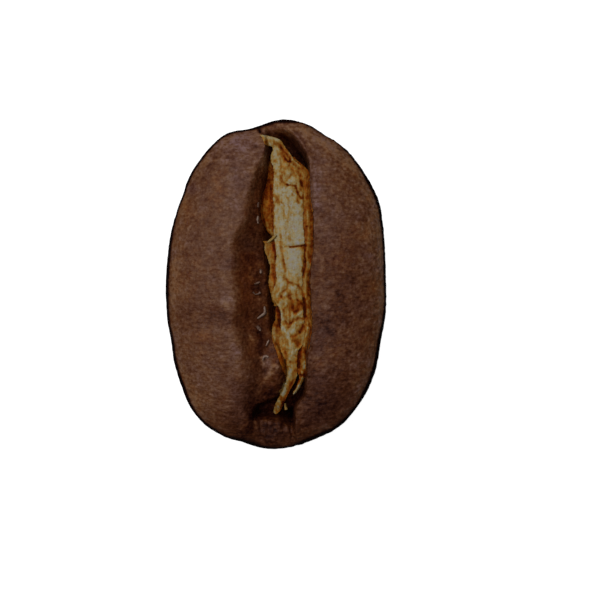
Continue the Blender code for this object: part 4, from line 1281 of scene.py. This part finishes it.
class Nodes:
    """A material's node tree, with one short call for each kind of node that is used here."""

    def __init__(self, name):
        self.material = bpy.data.materials.new(name)
        self.material.use_nodes = True
        self.tree = self.material.node_tree
        self.shader = self.tree.nodes["Principled BSDF"]
        self.mm = self.coordinates()

    def node(self, kind, inputs=(), **settings):
        made = self.tree.nodes.new(kind)
        for key, value in settings.items():
            setattr(made, key, value)
        for key, value in dict(inputs).items():
            self.put(made.inputs[key], value)
        return made

    def put(self, socket, value):
        """Sets a socket to a number or colour, or links it to another node's output."""
        if isinstance(value, bpy.types.NodeSocket):
            self.tree.links.new(value, socket)
        else:
            socket.default_value = value

    def set(self, key, value):
        """Sets or links an input of the material's shader."""
        self.put(self.shader.inputs[key], value)

    def coordinates(self, stretch=(1, 1, 1)):
        """The place on the piece in millimetres, stretched for each axis."""
        source = self.node("ShaderNodeTexCoord").outputs["Object"]
        scale = [1 / METRES / s for s in stretch]
        inputs = {"Vector": source, "Scale": scale}
        return self.node("ShaderNodeMapping", inputs).outputs["Vector"]

    def noise(self, size, detail=2.0, roughness=0.5, stretch=None):
        where = self.coordinates(stretch) if stretch else self.mm
        inputs = {"Vector": where, "Scale": 1 / size, "Detail": detail, "Roughness": roughness}
        return self.node("ShaderNodeTexNoise", inputs).outputs["Fac"]

    def cells(self, size):
        inputs = {"Vector": self.mm, "Scale": 1 / size}
        return self.node("ShaderNodeTexVoronoi", inputs).outputs["Distance"]

    def value(self, key):
        """The value that each point of the mesh holds under this name."""
        return self.node("ShaderNodeAttribute", attribute_name=key).outputs["Fac"]

    def math(self, operation, a, b, c=0.0):
        inputs = {0: a, 1: b, 2: c}
        return self.node("ShaderNodeMath", inputs, operation=operation).outputs[0]

    def varied(self, start, layers):
        """A value with noise layers added, each (noise, strength), centred on no change."""
        total = start
        for noise, strength in layers:
            total = self.math("MULTIPLY_ADD", self.math("SUBTRACT", noise, 0.5), strength, total)
        return total

    def ramp(self, fac, stops):
        """A colour or a grey for each share, blended between the stops."""
        made = self.node("ShaderNodeValToRGB", {"Fac": fac})
        elements = made.color_ramp.elements
        while len(elements) < len(stops):
            elements.new(1.0)
        for element, (share, colour) in zip(elements, stops):
            element.position = share
            shade = (colour,) * 3 if isinstance(colour, float) else colour
            element.color = (*shade, 1.0)
        return made.outputs["Color"]

    def tinted(self, colour, tint):
        """A colour multiplied by a tint."""
        inputs = {MIX_FACTOR: 1.0, MIX_A: colour, MIX_B: tint}
        made = self.node("ShaderNodeMix", inputs, data_type="RGBA", blend_type="MULTIPLY")
        return made.outputs[MIX_RESULT]

    def bumps(self, layers):
        """The normal after several bump layers, each (height, depth in millimetres)."""
        normal = None
        for height, depth in layers:
            inputs = {"Height": height, "Distance": depth * METRES, "Strength": 1.0}
            if normal is not None:
                inputs["Normal"] = normal
            normal = self.node("ShaderNodeBump", inputs).outputs["Normal"]
        return normal


def bean_finish():
    """Dark roasted seed: the darker it is, the redder, with lighter, golden and grey mottling."""
    n = Nodes("roasted_bean")
    fine = n.noise(0.10, detail=2.0, roughness=0.6)
    streaks = n.noise(0.10, detail=2.0, roughness=0.6, stretch=(2.6, 1.0, 1.0))
    blotches = n.noise(0.45, detail=3.0)
    tone = n.varied(n.value("tone"), ((fine, 0.62), (streaks, 0.42), (blotches, 0.30)))
    tints = n.noise(0.30, detail=3.0, roughness=0.6)
    hue = n.varied(n.value("hue"), ((tints, 1.0), (fine, 0.5)))
    n.set("Base Color", n.tinted(n.ramp(tone, ROAST_RAMP), n.ramp(hue, HUE_RAMP)))
    n.set("Roughness", n.ramp(n.noise(0.2, detail=3.0), ((0.3, 0.45), (0.7, 0.68))))
    n.set("Specular IOR Level", n.ramp(tone, ((0.2, 0.02), (0.8, 0.20))))
    wrinkles = n.noise(0.09, detail=3.0, roughness=0.6, stretch=(2.2, 1.0, 1.0))
    n.set("Normal", n.bumps(((n.cells(0.12), 0.014), (wrinkles, 0.035))))
    return n.material


def skin_finish():
    """Papery silverskin: cream where it is clean and raised, golden to red-brown in its folds; the
    raised parts' cream and the folds' darkness are partly painted light and shade.
    """
    n = Nodes("silverskin")
    fine = n.noise(0.07, detail=3.0, roughness=0.6)
    fibres = n.noise(0.06, detail=2.0, roughness=0.6, stretch=(1.0, 6.0, 1.0))
    tone = n.varied(n.value("tone"), ((fine, 0.50), (fibres, 0.30)))
    tints = n.noise(0.18, detail=3.0, roughness=0.6)
    hue = n.varied(n.value("hue"), ((tints, 1.6), (n.noise(0.05), 0.8)))
    n.set("Base Color", n.tinted(n.ramp(tone, SKIN_RAMP), n.ramp(hue, SKIN_HUES)))
    n.set("Roughness", n.ramp(fine, ((0.3, 0.5), (0.7, 0.8))))
    n.set("Specular IOR Level", n.ramp(tone, ((0.2, 0.01), (0.9, 0.10))))
    n.set("Normal", n.bumps(((fibres, 0.010), (fine, 0.016))))
    return n.material


def flake_finish():
    """The same skin bleached to a dull beige, on the loose flakes."""
    n = Nodes("silverskin_flake")
    fine = n.noise(0.06, detail=3.0, roughness=0.6)
    tone = n.varied(n.value("tone"), ((fine, 0.5),))
    n.set("Base Color", n.ramp(tone, FLAKE_RAMP))
    n.set("Roughness", n.ramp(fine, ((0.3, 0.4), (0.7, 0.7))))
    n.set("Normal", n.bumps(((fine, 0.012),)))
    return n.material


# The scene


def place(points):
    """Points in the CAD tables' millimetres, in the row's frame in metres."""
    return (np.asarray(points) + shift) * METRES


def cad_shift():
    """The move, in millimetres, from the CAD tables' frame to the row's frame."""
    directions, _ = bean_mesh(COARSE_CELLS)
    points, _, _ = bean_form(directions)
    low, high = points.min(axis=0), points.max(axis=0)
    return np.array([-(low[0] + high[0]) / 2, -(low[1] + high[1]) / 2, -REST_LEVEL])


def make_floor():
    """A white floor that glows, and that lights nothing itself."""
    mesh = bpy.data.meshes.new("floor")
    sides = ((-1, -1), (1, -1), (1, 1), (-1, 1))
    corners = [(x * FLOOR_REACH, y * FLOOR_REACH, 0) for x, y in sides]
    mesh.from_pydata(corners, [], [(0, 1, 2, 3)])
    n = Nodes("floor")
    n.set("Base Color", (FLOOR_GREY, FLOOR_GREY, FLOOR_GREY, 1))
    n.set("Roughness", 1.0)
    n.set("Specular IOR Level", 0.0)
    n.set("Emission Color", (1, 1, 1, 1))
    n.set("Emission Strength", FLOOR_GLOW)
    mesh.materials.append(n.material)
    floor = bpy.data.objects.new("floor", mesh)
    bpy.context.scene.collection.objects.link(floor)
    floor.visible_diffuse = False
    floor.visible_glossy = False


def make_light(name, azimuth, elevation, distance, size, strength):
    """A square soft light that shines at the bean. Azimuth 0 is +X and 90 is +Y, in degrees.
    Strength is what a white surface that faces it would reflect."""
    around, up = math.radians(azimuth), math.radians(elevation)
    level = math.cos(up)
    back = Vector((math.cos(around) * level, math.sin(around) * level, math.sin(up)))
    data = bpy.data.lights.new(name, "AREA")
    data.shape = "SQUARE"
    data.size = size
    data.energy = strength * (math.pi * distance) ** 2
    light = bpy.data.objects.new(name, data)
    light.location = back * distance
    light.rotation_euler = back.to_track_quat("Z", "Y").to_euler()
    bpy.context.scene.collection.objects.link(light)


def make_world():
    """Even white light from all sides."""
    world = bpy.data.worlds.new("studio")
    world.use_nodes = True
    background = world.node_tree.nodes["Background"]
    background.inputs["Color"].default_value = (1, 1, 1, 1)
    background.inputs["Strength"].default_value = WORLD_STRENGTH
    bpy.context.scene.world = world


def make_camera():
    """Straight above the bean, so that its widest line fills the photograph's pixels."""
    rim_level = -REST_LEVEL * METRES
    width = FRAME_PX / PIXELS_PER_MM * METRES
    data = bpy.data.cameras.new("camera")
    data.lens, data.sensor_width = LENS, SENSOR
    data.clip_start, data.clip_end = CLIP
    camera = bpy.data.objects.new("camera", data)
    aside, along, _ = place((*px(FRAME_PX / 2, FRAME_PX / 2), 0))
    camera.location = (aside, along, rim_level + width * LENS / SENSOR)
    bpy.context.scene.collection.objects.link(camera)
    bpy.context.scene.camera = camera


def add(piece, node):
    """Puts a piece on the row's only body, in place of a CAD node."""
    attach(piece, "root")
    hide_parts(node)


shift = cad_shift()

add(make_bean(bean_finish()), "bean")
papery = skin_finish()
add(make_silverskin(papery), "silverskin")
bleached = flake_finish()
for number, flake in enumerate(FLAKES, start=1):
    flake = make_flake(number, *flake, bleached)
    add(flake, f"silverskin_flake_{number}")

make_floor()
make_light("key", azimuth=130, elevation=66, distance=0.16, size=0.14, strength=0.95)
make_world()
make_camera()
bpy.context.scene.view_settings.view_transform = "Standard"
